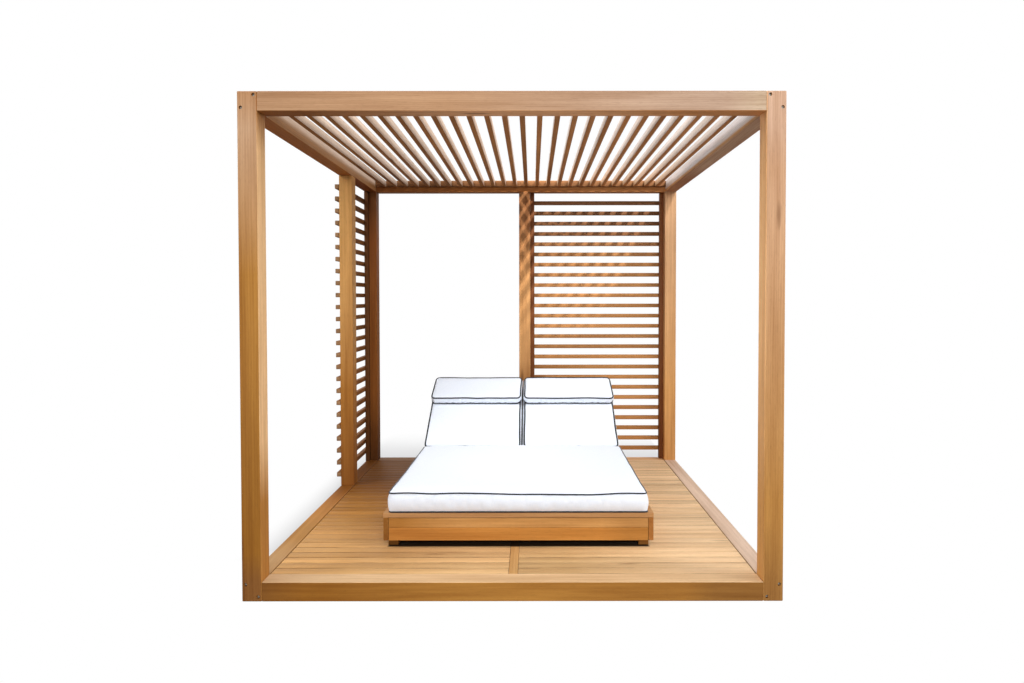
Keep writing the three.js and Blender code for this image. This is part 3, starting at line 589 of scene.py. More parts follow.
def eased_board(name, low, high, ease):
    """One board between two corners, with its edges rounded."""
    low, high = Vector(low), Vector(high)
    bpy.ops.object.select_all(action="DESELECT")
    bpy.ops.mesh.primitive_cube_add(size=1, location=(low + high) / 2, scale=high - low)
    board = bpy.context.object
    board.name = name
    bpy.ops.object.transform_apply()
    bpy.ops.object.mode_set(mode="EDIT")
    bpy.ops.mesh.select_all(action="SELECT")
    bpy.ops.mesh.bevel(offset=ease, segments=2)
    bpy.ops.object.mode_set(mode="OBJECT")
    return board


def number_board(board, number):
    """Numbers a board, for its tone and grain, and marks its rounded edges, where shade is painted beside the
    gaps.
    """
    mesh = board.data
    tone = mesh.attributes.new("board", "FLOAT", "POINT")
    tone.data.foreach_set("value", [number] * len(mesh.vertices))
    low, high = [Vector(map(pick, zip(*(point.co for point in mesh.vertices)))) for pick in (min, max)]
    edge = mesh.attributes.new("edge", "FLOAT", "POINT")
    for point in mesh.vertices:
        reach = sorted(min(point.co[axis] - low[axis], high[axis] - point.co[axis]) for axis in range(3))
        edge.data[point.index].value = 1.0 if reach[1] < EDGE_SHADE_WIDTH else 0.0


def row_of_boards(pattern, moves, first_number):
    """Copies a board to each place, and numbers every copy. The pattern itself goes."""
    boards = []
    for index, move in enumerate(moves):
        board = bpy.data.objects.new(pattern.name, pattern.data.copy())
        board.data.transform(Matrix.Translation(move))
        number_board(board, first_number + index)
        scene.collection.objects.link(board)
        boards.append(board)
    bpy.data.objects.remove(pattern)
    return boards


def joined(name, boards, material):
    """Joins boards into one piece, smooth on its rounded edges."""
    bpy.ops.object.select_all(action="DESELECT")
    for board in boards:
        board.select_set(True)
    bpy.context.view_layer.objects.active = boards[0]
    bpy.ops.object.join()
    piece = bpy.context.object
    piece.name = name
    piece.data.name = name
    piece.data.materials.clear()
    piece.data.materials.append(material)
    bpy.ops.object.shade_smooth_by_angle(angle=SHARP_ANGLE)
    piece.select_set(False)
    return piece


def shade_deck(material):
    """Paints shade into the wood: a shadow under the chaise, darker beside it on the left, and towards the
    rear beside the left screen.
    """
    tree = material.node_tree
    shader = tree.nodes["Principled BSDF"]
    place = add_node(tree, "ShaderNodeTexCoord").outputs["Object"]
    left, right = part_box("chaise_left_board")[0].x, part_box("chaise_right_board")[1].x
    front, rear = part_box("chaise_front_board")[0].y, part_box("chaise_rear_board")[1].y
    middle = ((left + right) / 2, (front + rear) / 2, 0)
    half = ((right - left) / 2 - CHAISE_SHADE_INSET, (rear - front) / 2, 0)
    from_middle = vector_node(tree, "ABSOLUTE", vector_node(tree, "SUBTRACT", place, middle))
    outside = axes_node(tree, vector_node(tree, "SUBTRACT", from_middle, half))
    reach = math_node(tree, "MAXIMUM", outside["X"], outside["Y"])
    under = range_node(tree, reach, 0, CHAISE_SHADE_REACH, CHAISE_SHADE, 0)
    spot = axes_node(tree, place)
    inward = math_node(tree, "SUBTRACT", spot["Y"], front)
    under = math_node(tree, "MULTIPLY", under, range_node(tree, inward, *CHAISE_SHADE_FADE))
    leftward = range_node(tree, spot["X"], *SCREEN_SHADE_X)
    rearward = range_node(tree, spot["Y"], *SCREEN_SHADE_Y, 0, SCREEN_SHADE)
    beside = math_node(tree, "MULTIPLY", leftward, rearward)
    side_shade = range_node(tree, reach, 0, SIDE_SHADE_REACH, SIDE_SHADE, 0)
    by_the_chaise = math_node(tree, "MULTIPLY", leftward, side_shade)
    beside = math_node(tree, "MAXIMUM", beside, by_the_chaise)
    color = shader.inputs["Base Color"].links[0].from_socket
    color = mix_node(tree, beside, color, SHADE_TEAK)
    tree.links.new(mix_node(tree, under, color, UNDER_CHAISE_SHADOW), shader.inputs["Base Color"])


joist_teak = teak("joist teak", ALONG_Y, (165, 118, 64))
for bay, first_number in [("left", 100), ("right", 200)]:
    low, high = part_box(f"deck_panel_{bay}")
    deck_teak = teak(f"{bay} deck teak", ALONG_X, DECK_TONES[bay])
    shade_deck(deck_teak)
    pitch = (high.y - low.y + PLANK_GAP) / PLANKS
    plank_low = (low.x, low.y, high.z - PLANK_THICKNESS)
    plank_high = (high.x, low.y + pitch - PLANK_GAP, high.z)
    plank = eased_board("plank", plank_low, plank_high, PLANK_EASE)
    moves = [(0, index * pitch, chance.uniform(-LARGEST_SINK, 0)) for index in range(PLANKS)]
    planks = joined(f"deck_planks_{bay}", row_of_boards(plank, moves, first_number), deck_teak)
    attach(planks, "root")
    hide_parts(f"deck_panel_{bay}")
    first = (low.x + high.x - JOIST_WIDTH - (JOISTS - 1) * JOIST_PITCH) / 2
    joist_low = (first, low.y, low.z)
    joist_high = (first + JOIST_WIDTH, high.y, high.z - PLANK_THICKNESS - JOIST_DROP)
    joist = eased_board("joist", joist_low, joist_high, PLANK_EASE)
    moves = [(index * JOIST_PITCH, 0, 0) for index in range(JOISTS)]
    joists = joined(f"deck_joists_{bay}", row_of_boards(joist, moves, first_number + 50), joist_teak)
    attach(joists, "root")

rail_teak = teak("middle rail teak", ALONG_Y, (197, 151, 95), board=31.5)
shade_deck(rail_teak)
dress("deck_center_rail", rail_teak)
# the deck's painted shade also on the base beams at the left and the rear
for beam in ("beam_base_left", "beam_base_rear"):
    shade_deck(nodes[beam].active_material)


# The roof: slats on edge from front to rear, tied at both ends by a rail that is screwed to the beams. Their
# undersides hang below the beams' tops, and daylight falls between them.
SLAT_EASE = 0.0025
ROOF_SLATS = 13  # in each half
ROOF_SLAT_WIDTH = 0.029
ROOF_RAIL_WIDTH = 0.029
ROOF_OVERLAP = 0.001  # of the slats' ends and the rails
ROOF_SLAT_MOVE = 0.0005  # of single slats, up or down
# Painted light and shade: the slats' side faces are paler than their undersides, as if lit from above between
# the slats, the left-facing ones palest at the front.
ROOF_SLAT_TONE = [(162, 106, 57), ("X", -0.2, 0.5, (190, 129, 79))]
ROOF_SLAT_LIT_SIDES = {
    LEFTWARD: [(233, 218, 206), ("Y", -0.2, 1.0, (222, 184, 144))],
    RIGHTWARD: (208, 183, 161),
}
roof_teak = teak("roof slat teak", ALONG_Y, ROOF_SLAT_TONE, facings=ROOF_SLAT_LIT_SIDES)
roof_rail_teak = teak("roof rail teak", ALONG_X, (124, 83, 50))
middle = (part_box("roof_panel_left")[1].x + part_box("roof_panel_right")[0].x) / 2
for half, sign, slat_number, rail_number in [("left", -1, 300, 340), ("right", 1, 320, 350)]:
    low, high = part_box(f"roof_panel_{half}")
    edge = high.x if sign > 0 else low.x
    space = (2 * abs(edge - middle) - 2 * ROOF_SLATS * ROOF_SLAT_WIDTH) / (2 * ROOF_SLATS + 1)
    slat_pitch = space + ROOF_SLAT_WIDTH
    start = edge - sign * (space + ROOF_SLAT_WIDTH / 2)
    slat_low = (start - ROOF_SLAT_WIDTH / 2, low.y + ROOF_RAIL_WIDTH - ROOF_OVERLAP, low.z)
    slat_high = (start + ROOF_SLAT_WIDTH / 2, high.y - ROOF_RAIL_WIDTH + ROOF_OVERLAP, high.z)
    slat = eased_board("roof_slat", slat_low, slat_high, SLAT_EASE)
    moves = [
        (-sign * index * slat_pitch, 0, chance.uniform(-ROOF_SLAT_MOVE, ROOF_SLAT_MOVE))
        for index in range(ROOF_SLATS)
    ]
    slats = joined(f"roof_slats_{half}", row_of_boards(slat, moves, slat_number), roof_teak)
    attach(slats, "root")
    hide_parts(f"roof_panel_{half}")
    rail = eased_board("rail", low, (high.x, low.y + ROOF_RAIL_WIDTH, high.z), SLAT_EASE)
    moves = [(0, 0, 0), (0, high.y - low.y - ROOF_RAIL_WIDTH, 0)]
    rails = joined(f"roof_rails_{half}", row_of_boards(rail, moves, rail_number), roof_rail_teak)
    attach(rails, "root")


# The two screens: level slats outside the posts, on two upright cleats that stand between the posts.
SCREEN_SLATS = 25
SCREEN_SLAT_HEIGHT = 0.032
SCREEN_SLAT_THICKNESS = 0.0307
SCREEN_MARGIN = 0.0645
CLEAT_WIDTH = 0.035
CLEAT_GAP = 0.0003
# Painted shade and light: the rear screen darker towards the top, under the roof, and the left screen's slat
# ends at the front paler, a painted highlight.
SCREEN_TONES = {"rear": [(184, 128, 76), ("Z", 1.65, 2.1, (122, 81, 50))], "left": (140, 88, 42)}
SCREEN_END_HIGHLIGHTS = {"rear": {}, "left": {FRONTWARD: (158, 120, 84)}}  # the slats' ends at the front
CLEAT_TONES = {"rear": (123, 74, 41), "left": (99, 60, 29)}


def slatted_screen(side, grain, axis, sign, first_number):
    """The slats of a screen, at its far side along an axis given with its sign. Gives where their
    inner faces are."""
    low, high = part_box(f"screen_{side}")
    first_low, first_high = Vector(low), Vector(high)
    if sign > 0:
        inner_face = first_low[axis] = high[axis] - SCREEN_SLAT_THICKNESS
    else:
        inner_face = first_high[axis] = low[axis] + SCREEN_SLAT_THICKNESS
    first_low.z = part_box("beam_base_front")[1].z + SCREEN_MARGIN
    first_high.z = first_low.z + SCREEN_SLAT_HEIGHT
    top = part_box("beam_top_front")[0].z - SCREEN_MARGIN - SCREEN_SLAT_HEIGHT
    pitch = (top - first_low.z) / (SCREEN_SLATS - 1)
    slat = eased_board("screen_slat", first_low, first_high, SLAT_EASE)
    moves = [(0, 0, index * pitch) for index in range(SCREEN_SLATS)]
    material = teak(f"{side} screen teak", grain, SCREEN_TONES[side], facings=SCREEN_END_HIGHLIGHTS[side], ends=False)
    slats = joined(f"screen_slats_{side}", row_of_boards(slat, moves, first_number), material)
    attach(slats, "root")
    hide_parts(f"screen_{side}")
    return inner_face


def screen_cleats(side, axis, sign, inner_face, posts, first_number):
    """Two cleats at the inner faces of a screen's slats, each beside a post of the opening."""
    first_low, first_high = [Vector(corner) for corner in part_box(f"screen_{side}")]
    corner = first_high if sign > 0 else first_low
    corner[axis] = inner_face
    along = 1 - axis
    first_post, last_post = [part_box(post) for post in posts]
    first_low[along] = first_post[1][along] + CLEAT_GAP
    first_high[along] = first_low[along] + CLEAT_WIDTH
    move = Vector()
    move[along] = last_post[0][along] - CLEAT_WIDTH - CLEAT_GAP - first_low[along]
    cleat = eased_board("cleat", first_low, first_high, SLAT_EASE)
    material = teak(f"{side} cleat teak", ALONG_Z, CLEAT_TONES[side])
    cleats = joined(f"screen_cleats_{side}", row_of_boards(cleat, [(0, 0, 0), move], first_number), material)
    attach(cleats, "root")


rear_face = slatted_screen("rear", ALONG_X, 1, 1, 400)
left_face = slatted_screen("left", ALONG_Y, 0, -1, 440)
screen_cleats("rear", 1, 1, rear_face, ("post_rear_middle", "post_rear_right"), 430)
screen_cleats("left", 0, -1, left_face, ("post_left_middle", "post_rear_left"), 470)


# The chaise's box: side boards whose dark end grain shows at the front, and a front board glued up from a
# paler and a more orange stave. It stands on four block feet and carries the seat frame. The front feet and
# the left board's end are darker still, with painted shade.
CHAISE_TONE = (187, 136, 77)
UPPER_TONE = [(160, 108, 50), ("X", -0.62, -0.3, (193, 142, 83)), ("X", 0.5, 0.65, (172, 124, 71))]
LOWER_TONE = [(191, 129, 61), ("X", 0.5, 0.65, (170, 115, 54))]
# painted shade: the front feet darker, and the left board's end darker than the right one's
FOOT_SHADE_TONES = {"foot_front_left": (118, 76, 30), "foot_front_right": (136, 88, 38)}
END_GRAIN_AND_SHADE_TONES = {"chaise_left_board": (139, 90, 38), "chaise_right_board": (160, 106, 53)}
STRIP_GROOVE = 0.0034  # between the front board and the seat frame's edge
END_GROOVE = 0.0018  # between the front board and the side boards' ends
UPPER_STAVE_SHARE = 0.44
STAVE_EASE = 0.0012
STAVE_JOINT = 0.0004
BOX_GRAIN = {  # the way of the grain in each of its other parts
    "chaise_left_board": ALONG_Y,
    "chaise_right_board": ALONG_Y,
    "chaise_rear_board": ALONG_X,
    "foot_front_left": ALONG_X,
    "foot_front_right": ALONG_X,
    "foot_rear_left": ALONG_X,
    "foot_rear_right": ALONG_X,
    "chaise_center_bearer": ALONG_Y,
    "chaise_cross_bearer": ALONG_X,
    "chaise_hinge_bearer": ALONG_X,
    "rack_left_inner": ALONG_Y,
    "rack_left_outer": ALONG_Y,
    "rack_right_inner": ALONG_Y,
    "rack_right_outer": ALONG_Y,
}

low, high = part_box("chaise_front_board")
joint = high.z - UPPER_STAVE_SHARE * (high.z - low.z)
left, right = low.x + END_GROOVE, high.x - END_GROOVE
upper_high = (right, high.y, high.z - STRIP_GROOVE)
upper = eased_board("chaise_front_stave_upper", (left, low.y, joint + STAVE_JOINT), upper_high, STAVE_EASE)
lower_high = (right, high.y, joint - STAVE_JOINT)
lower = eased_board("chaise_front_stave_lower", (left, low.y, low.z), lower_high, STAVE_EASE)
for stave, tone, number in [(upper, UPPER_TONE, 41.5), (lower, LOWER_TONE, 42.5)]:
    stave.data.materials.append(teak(f"{stave.name} teak", ALONG_X, tone, board=number))
    bpy.ops.object.select_all(action="DESELECT")
    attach(stave, "root")
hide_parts("chaise_front_board")

for number, (name, turns) in enumerate(BOX_GRAIN.items()):
    tone = FOOT_SHADE_TONES.get(name, CHAISE_TONE)
    looks = {}
    if "board" in name:
        looks = {"facings": {FRONTWARD: END_GRAIN_AND_SHADE_TONES.get(name, CHAISE_TONE)}, "ends": False}
    dress(name, teak(f"{name} teak", turns, tone, board=number + 51.5, **looks))
dress("seat_frame", teak("seat frame teak", ALONG_X, (195, 143, 92), board=71.5, ends=False))


# The backrest frames and their props, which turn. A backrest's stiles run up its slope and its rails and
# slats across, so each face of the CAD piece is marked with its board. The rods are bright steel.
REST_ANGLE = 40  # degrees up from flat, as in the rest position
HINGE = (0.408, 0.2686)  # y and z of the axis that the backrests turn about
CHAISE_MIDDLE = 0.0345
FIELD = (0.0745, 0.6605)  # of the rails and slats, from the chaise's middle line
FIELD_HALF = 0.0125  # of its thickness
FIELD_START, FIELD_PITCH = 0.005, 0.0735  # of its rows, up the back
STILE_WIDTH = 0.03
INNER_STILE, OUTER_STILE = 20, 21  # their numbers, after those of the rows

up_the_back = [(-REST_ANGLE, 0, -90), (-REST_ANGLE, 0, 0)]
down_the_prop = [(REST_ANGLE, 0, -90)]
to_hinge = Matrix.Translation((0, *HINGE)) @ Matrix.Rotation(math.radians(REST_ANGLE), 4, "X")
from_hinge = to_hinge.inverted()
back_teak = teak("backrest teak", up_the_back, CHAISE_TONE)
for number, side in enumerate(("left", "right")):
    mesh = nodes[f"backrest_{side}"].data
    board = mesh.attributes.new("board", "FLOAT", "FACE")
    crossed = mesh.attributes.new("crossed", "FLOAT", "FACE")
    for face in mesh.polygons:
        spot = from_hinge @ face.center
        reach = abs(spot.x - CHAISE_MIDDLE)
        in_field = FIELD[0] < reach < FIELD[1] and abs(spot.z) < FIELD_HALF
        if in_field:
            row = math.floor((spot.y - FIELD_START) / FIELD_PITCH)
        else:
            row = INNER_STILE if reach < FIELD[0] + STILE_WIDTH else OUTER_STILE
        crossed.data[face.index].value = float(in_field)
        board.data[face.index].value = 500 + 40 * number + row
    dress(f"backrest_{side}", back_teak)
    dress(f"prop_{side}", teak(f"{side} prop teak", down_the_prop, CHAISE_TONE, board=number + 81.5))

bright_steel = steel("bright steel", ((20, 900, 900), 3), (176, 176, 178), (206, 206, 208), 0.26, 1)
for rod in ("hinge_rod_left", "hinge_rod_right", "prop_rod_left", "prop_rod_right"):
    dress(rod, bright_steel)


# The cushions are boxed: a top and a bottom panel and a boxing strip of white outdoor canvas, with a piping
# of dark canvas sewn into both seams. Each is filled by a cloth simulation that blows the sewn cover up while
# its seams and its underside are held, and the filling of foam then holds the panels to a low crown.
CANVAS = srgb(243, 248, 255)
CANVAS_SHADE = srgb(233, 240, 251)
CREVICE_SHADE_COLOR = srgb(34, 36, 46)  # deep between two cushions, where no light comes
CREVICE_REACH, CREVICE_SHADE = 0.03, 0.96
CREVICE_OPENING = (0.28, 0.62)  # the share of open air, from a dark crevice to none
PIPING_DARK, PIPING_LIGHT = srgb(16, 18, 24), srgb(32, 35, 44)
THREAD_PITCH = 0.0009
WEAVE_BUMP = {"Strength": 0.3, "Distance": 0.0002}
PIPING_SIDES = 8
PIPING_STAND_OFF = 0.0012
WAVES = 7  # sines in each pattern of waves
SEAM_WAVE, SEAM_WAVE_LENGTH = 0.0021, 0.3  # up and down
SEAM_SWERVE, SEAM_SWERVE_LENGTH = 0.00147, 0.22  # in and out
TOP_WAVE, TOP_WAVE_LENGTH = 0.0018, 0.34
PUCKER, PUCKER_LENGTH = 0.00078, 0.5  # and over which length they come and go
PUCKER_REACH = 0.0384
GATHERS = (0.031, 0.047, 0.083)  # the lengths of the puckers' waves along a seam
FILL_FRAMES = 20
FILLING = {
    "quality": 5,
    "tension_stiffness": 15,
    "compression_stiffness": 15,
    "bending_stiffness": 0.5,
    "shrink_min": -0.01,
    "use_pressure": True,
    "vertex_group_mass": "held",
}
CROWN_STEEPNESS = 6  # how soon the panels reach their level beside the seams


def canvas_weave_group():
    """Plain weave on UV coordinates in metres: threads that pass over and under each other, some thicker."""
    group, given = new_group(
        "canvas weave", {"Cloth": "Vector", "Pitch": "Float"}, {"Height": "Float", "Slub": "Float"}
    )
    turns = math_node(group, "DIVIDE", math.pi, given["Pitch"])
    cloth = axes_node(group, given["Cloth"])
    warp = math_node(group, "SINE", math_node(group, "MULTIPLY", cloth["X"], turns))
    weft = math_node(group, "SINE", math_node(group, "MULTIPLY", cloth["Y"], turns))
    over = math_node(group, "GREATER_THAN", math_node(group, "MULTIPLY", warp, weft), 0)
    under = math_node(group, "SUBTRACT", 1, over)
    warp_height = math_node(group, "MULTIPLY", math_node(group, "ABSOLUTE", warp), over)
    weft_height = math_node(group, "MULTIPLY", math_node(group, "ABSOLUTE", weft), under)
    thick_warp = noise_node(group, given["Cloth"], (30, 900, 1), 2)
    thick_weft = noise_node(group, given["Cloth"], (900, 30, 1), 2)
    slub = math_node(group, "ADD", thick_warp, thick_weft)
    height = math_node(group, "ADD", warp_height, weft_height)
    height = math_node(group, "ADD", height, math_node(group, "MULTIPLY", slub, 0.5))
    add_node(group, "NodeGroupOutput", {"Height": height, "Slub": slub})
    return group


CANVAS_WEAVE = canvas_weave_group()


def canvas(name, light, shade, sheen, crevice_shade_color=None):
    """Woven canvas, a little darker where its threads are thin, and with painted shade deep in a crevice,
    where another surface is close by.
    """
    material, tree, shader = new_material(name)
    inputs = {"Cloth": add_node(tree, "ShaderNodeUVMap", uv_map="cloth").outputs[0], "Pitch": THREAD_PITCH}
    weave = add_node(tree, "ShaderNodeGroup", inputs, node_tree=CANVAS_WEAVE).outputs
    threads = range_node(tree, weave["Slub"], 0.8, 1.2)
    color = mix_node(tree, threads, shade, light)
    # painted shade: darkens the canvas where ambient occlusion finds another surface close by
    if crevice_shade_color:
        open_share = add_node(tree, "ShaderNodeAmbientOcclusion", {"Distance": CREVICE_REACH}, samples=12)
        closed = range_node(tree, open_share.outputs["AO"], *CREVICE_OPENING, CREVICE_SHADE, 0)
        color = mix_node(tree, closed, color, crevice_shade_color)
    tree.links.new(color, shader.inputs["Base Color"])
    tree.links.new(range_node(tree, threads, 0, 1, 0.95, 0.82), shader.inputs["Roughness"])
    bump = add_node(tree, "ShaderNodeBump", {"Height": weave["Height"], **WEAVE_BUMP}).outputs[0]
    tree.links.new(bump, shader.inputs["Normal"])
    shader.inputs["Sheen Weight"].default_value = sheen
    shader.inputs["Sheen Roughness"].default_value = 0.5
    return material


white_canvas = canvas("white canvas", CANVAS, CANVAS_SHADE, 0.1, CREVICE_SHADE_COLOR)
piping_canvas = canvas("piping canvas", PIPING_LIGHT, PIPING_DARK, 0.25)


def waves(points, length, seed):
    """Soft irregular waves over places, from -1 to 1: a few sines in chance directions."""
    phases = random.Random(seed)
    total = np.zeros(len(points))
    for _ in range(WAVES):
        turn = phases.uniform(0, math.tau)
        reach = length * phases.uniform(0.6, 1.6)
        across = points[:, 0] * math.cos(turn) + points[:, 1] * math.sin(turn) + 0.7 * points[:, 2]
        total += np.sin(across * math.tau / reach + phases.uniform(0, math.tau))
    return total * 2 / WAVES


class Cushion:
    """The sewn cover of a boxed cushion before it is filled, centred on its middle, underside at height 0.
    Its width and length are between its seams, and its boxing stands out past them by the bulge."""

    def __init__(self, name, width, length, thickness, crown, bulge, corner, draw, cell, piping):
        self.name, self.crown, self.bulge, self.piping = name, crown, bulge, piping
        self.height = thickness - crown
        half = (width / 2, length / 2)
        x, y = self.panel(half, corner, cell)
        pull_x = 1 - draw / half[0] * (1 - (y / half[1]) ** 2)
        pull_y = 1 - draw / half[1] * (1 - (x / half[0]) ** 2)
        flat = np.stack([(x * pull_x).ravel(), (y * pull_y).ravel()], 1)
        across, along = x.shape
        number = np.arange(across * along).reshape(x.shape)
        self.count = across * along
        edge = [number[:, 0], number[-1, 1:], number[-2::-1, -1], number[0, -2:0:-1]]
        self.top_seam = np.concatenate(edge)
        self.low_seam = self.top_seam + self.count
        top = np.column_stack([flat, np.full(self.count, self.height)])
        bottom = np.column_stack([flat, np.zeros(self.count)])
        bottom[self.top_seam, 2] = piping
        points, rings = [top, bottom], [self.top_seam]
        rows = max(4, round(self.height / cell))
        ring_size = len(self.top_seam)
        for row in range(1, rows):
            level = self.height + (piping - self.height) * row / rows
            points.append(np.column_stack([flat[self.top_seam], np.full(ring_size, level)]))
            rings.append(2 * self.count + (row - 1) * ring_size + np.arange(ring_size))
        rings.append(self.low_seam)
        self.points = np.concatenate(points)
        self.rings = rings
        steps = np.linalg.norm(np.diff(flat[np.append(self.top_seam, self.top_seam[0])], axis=0), axis=1)
        self.girth = np.concatenate([[0], np.cumsum(steps)])
        self.faces, self.cloth = [], []
        self.sew_panels(number)
        self.sew_boxing()

    def panel(self, half, corner, cell):
        """The places of a panel's threads: a grid whose corners are rounded."""
        lines = []
        for reach in half:
            near = np.linspace(-reach, corner - reach, 3)
            middle = np.linspace(corner - reach, reach - corner, round((reach - corner) * 2 / cell) + 1)
            lines.append(np.concatenate([near[:-1], middle, -near[-2::-1]]))
        x, y = np.meshgrid(*lines, indexing="ij")
        past_x = np.clip(np.abs(x) - half[0] + corner, 0, None) / corner
        past_y = np.clip(np.abs(y) - half[1] + corner, 0, None) / corner
        rounded = (past_x > 0) & (past_y > 0)
        round_x = np.sign(x) * (half[0] - corner + corner * past_x * np.sqrt(1 - past_y**2 / 2))
        round_y = np.sign(y) * (half[1] - corner + corner * past_y * np.sqrt(1 - past_x**2 / 2))
        return np.where(rounded, round_x, x), np.where(rounded, round_y, y)

    def sew_panels(self, number):
        """The faces of the two panels, with the places of their corners on the flat canvas."""
        for i in range(number.shape[0] - 1):
            for j in range(number.shape[1] - 1):
                ring = [number[i, j], number[i + 1, j], number[i + 1, j + 1], number[i, j + 1]]
                self.faces.append([int(point) for point in ring])
                self.faces.append([int(point) + self.count for point in reversed(ring)])
                self.cloth.append([self.points[point][:2] for point in ring])
                self.cloth.append([self.points[point][:2] for point in reversed(ring)])

    def sew_boxing(self):
        """The faces of the boxing strip between the panels, with their places on the flat canvas."""
        size = len(self.top_seam)
        for upper, lower in zip(self.rings, self.rings[1:]):
            for here in range(size):
                after = (here + 1) % size
                ring = [lower[here], lower[after], upper[after], upper[here]]
                self.faces.append([int(point) for point in ring])
                spots = [self.girth[here], self.girth[here + 1], self.girth[here + 1], self.girth[here]]
                self.cloth.append([(spot, self.points[point][2]) for spot, point in zip(spots, ring)])

    def fill(self, pressure):
        """Blows the cover up with Cloth, its seams and underside held, then sets its crown and bulge."""
        mesh = bpy.data.meshes.new(self.name)
        mesh.from_pydata(self.points.tolist(), [], self.faces)
        cover = bpy.data.objects.new(self.name, mesh)
        scene.collection.objects.link(cover)
        bpy.context.view_layer.objects.active = cover
        held = cover.vertex_groups.new(name="held")
        held.add(self.top_seam.tolist() + list(range(self.count, 2 * self.count)), 1, "REPLACE")
        filling = cover.modifiers.new("filling", "CLOTH")
        for setting, value in FILLING.items():
            setattr(filling.settings, setting, value)
        filling.settings.uniform_pressure_force = pressure
        filling.settings.effector_weights.gravity = 0
        filling.collision_settings.use_collision = False
        filling.point_cache.frame_start = 1
        filling.point_cache.frame_end = FILL_FRAMES
        for step in range(1, FILL_FRAMES + 1):
            scene.frame_set(step)
        bpy.ops.object.modifier_apply(modifier="filling")
        filled = np.empty(len(self.points) * 3)
        mesh.vertices.foreach_get("co", filled)
        bpy.data.objects.remove(cover)
        scene.frame_set(1)
        moved = filled.reshape(-1, 3) - self.points
        top, boxing = moved[: self.count], moved[2 * self.count :]
        rise = np.clip(top[:, 2], 0, None)
        level = 1 - np.exp(-rise / rise.max() * CROWN_STEEPNESS)
        top *= self.crown / rise.max()
        top[:, 2] = level * self.crown
        boxing *= self.bulge / np.linalg.norm(boxing, axis=1).max()
        self.points = self.points + moved

    def rumple(self, seed, belly):
        """Soft waves over the top, uneven seams, puckers where the canvas is gathered beside the seams, and
        the belly that the foam gives the boxing all round."""
        points = self.points.copy()
        rise = np.clip((points[:, 2] - self.height) / self.crown, 0, 1)
        points[: self.count, 2] += TOP_WAVE * (waves(points, TOP_WAVE_LENGTH, seed) * rise)[: self.count]
        spots = points[self.top_seam]
        points[self.top_seam, 2] += SEAM_WAVE * waves(spots, SEAM_WAVE_LENGTH, seed + 1)
        middle = points[:, :2] / np.abs(points[:, :2]).max(axis=0)
        out = middle / np.maximum(np.linalg.norm(middle, axis=1, keepdims=True), 0.001)
        swerve = SEAM_SWERVE * waves(spots, SEAM_SWERVE_LENGTH, seed + 2)
        points[self.top_seam, :2] += out[self.top_seam] * swerve[:, None]
        girth = self.girth[:-1]
        gathers = sum(np.sin(girth * math.tau / length + length * 900) for length in GATHERS)
        for ring in self.rings[1:-1]:
            level = points[ring[0], 2]
            near = np.exp(-min(level, self.height - level) / PUCKER_REACH)
            strong = 0.5 + 0.5 * waves(points[ring], PUCKER_LENGTH, seed + 3)
            swell = belly * (1 - abs(2 * level / self.height - 1) ** 3)
            points[ring, :2] += out[ring] * (swell + PUCKER * near * gathers * strong)[:, None]
        return points

    def make(self, name, points, place, mirrored=False):
        """The finished cover and its two pipings as objects, carried to their place by a matrix."""
        faces, cloth = self.faces, self.cloth
        if mirrored:
            points = points * (-1, 1, 1)
            faces = [face[::-1] for face in faces]
            cloth = [corners[::-1] for corners in cloth]
        mesh = bpy.data.meshes.new(name)
        mesh.from_pydata(points.tolist(), [], faces)
        uv = mesh.uv_layers.new(name="cloth")
        uv.data.foreach_set("uv", np.array(cloth).ravel())
        seam_pairs = set()
        for seam in (self.top_seam, self.low_seam):
            for here, after in zip(seam, np.roll(seam, -1)):
                seam_pairs.add((min(here, after), max(here, after)))
        crease = mesh.attributes.new("crease_edge", "FLOAT", "EDGE")
        on_seam = [float(tuple(sorted(edge.vertices)) in seam_pairs) for edge in mesh.edges]
        crease.data.foreach_set("value", on_seam)
        cover = bpy.data.objects.new(name, mesh)
        scene.collection.objects.link(cover)
        bpy.context.view_layer.objects.active = cover
        smooth = cover.modifiers.new("smooth", "SUBSURF")
        smooth.levels = 1
        smooth.render_levels = 1
        bpy.ops.object.modifier_apply(modifier="smooth")
        mesh.materials.append(white_canvas)
        mesh.shade_smooth()
        pipings = []
        for label, seam in (("top", self.top_seam), ("low", self.low_seam)):
            path = np.array([mesh.vertices[int(point)].co for point in seam])
            pipings.append(piping(f"{name}_piping_{label}", path, self.piping, place))
        mesh.transform(place)
        return cover, pipings


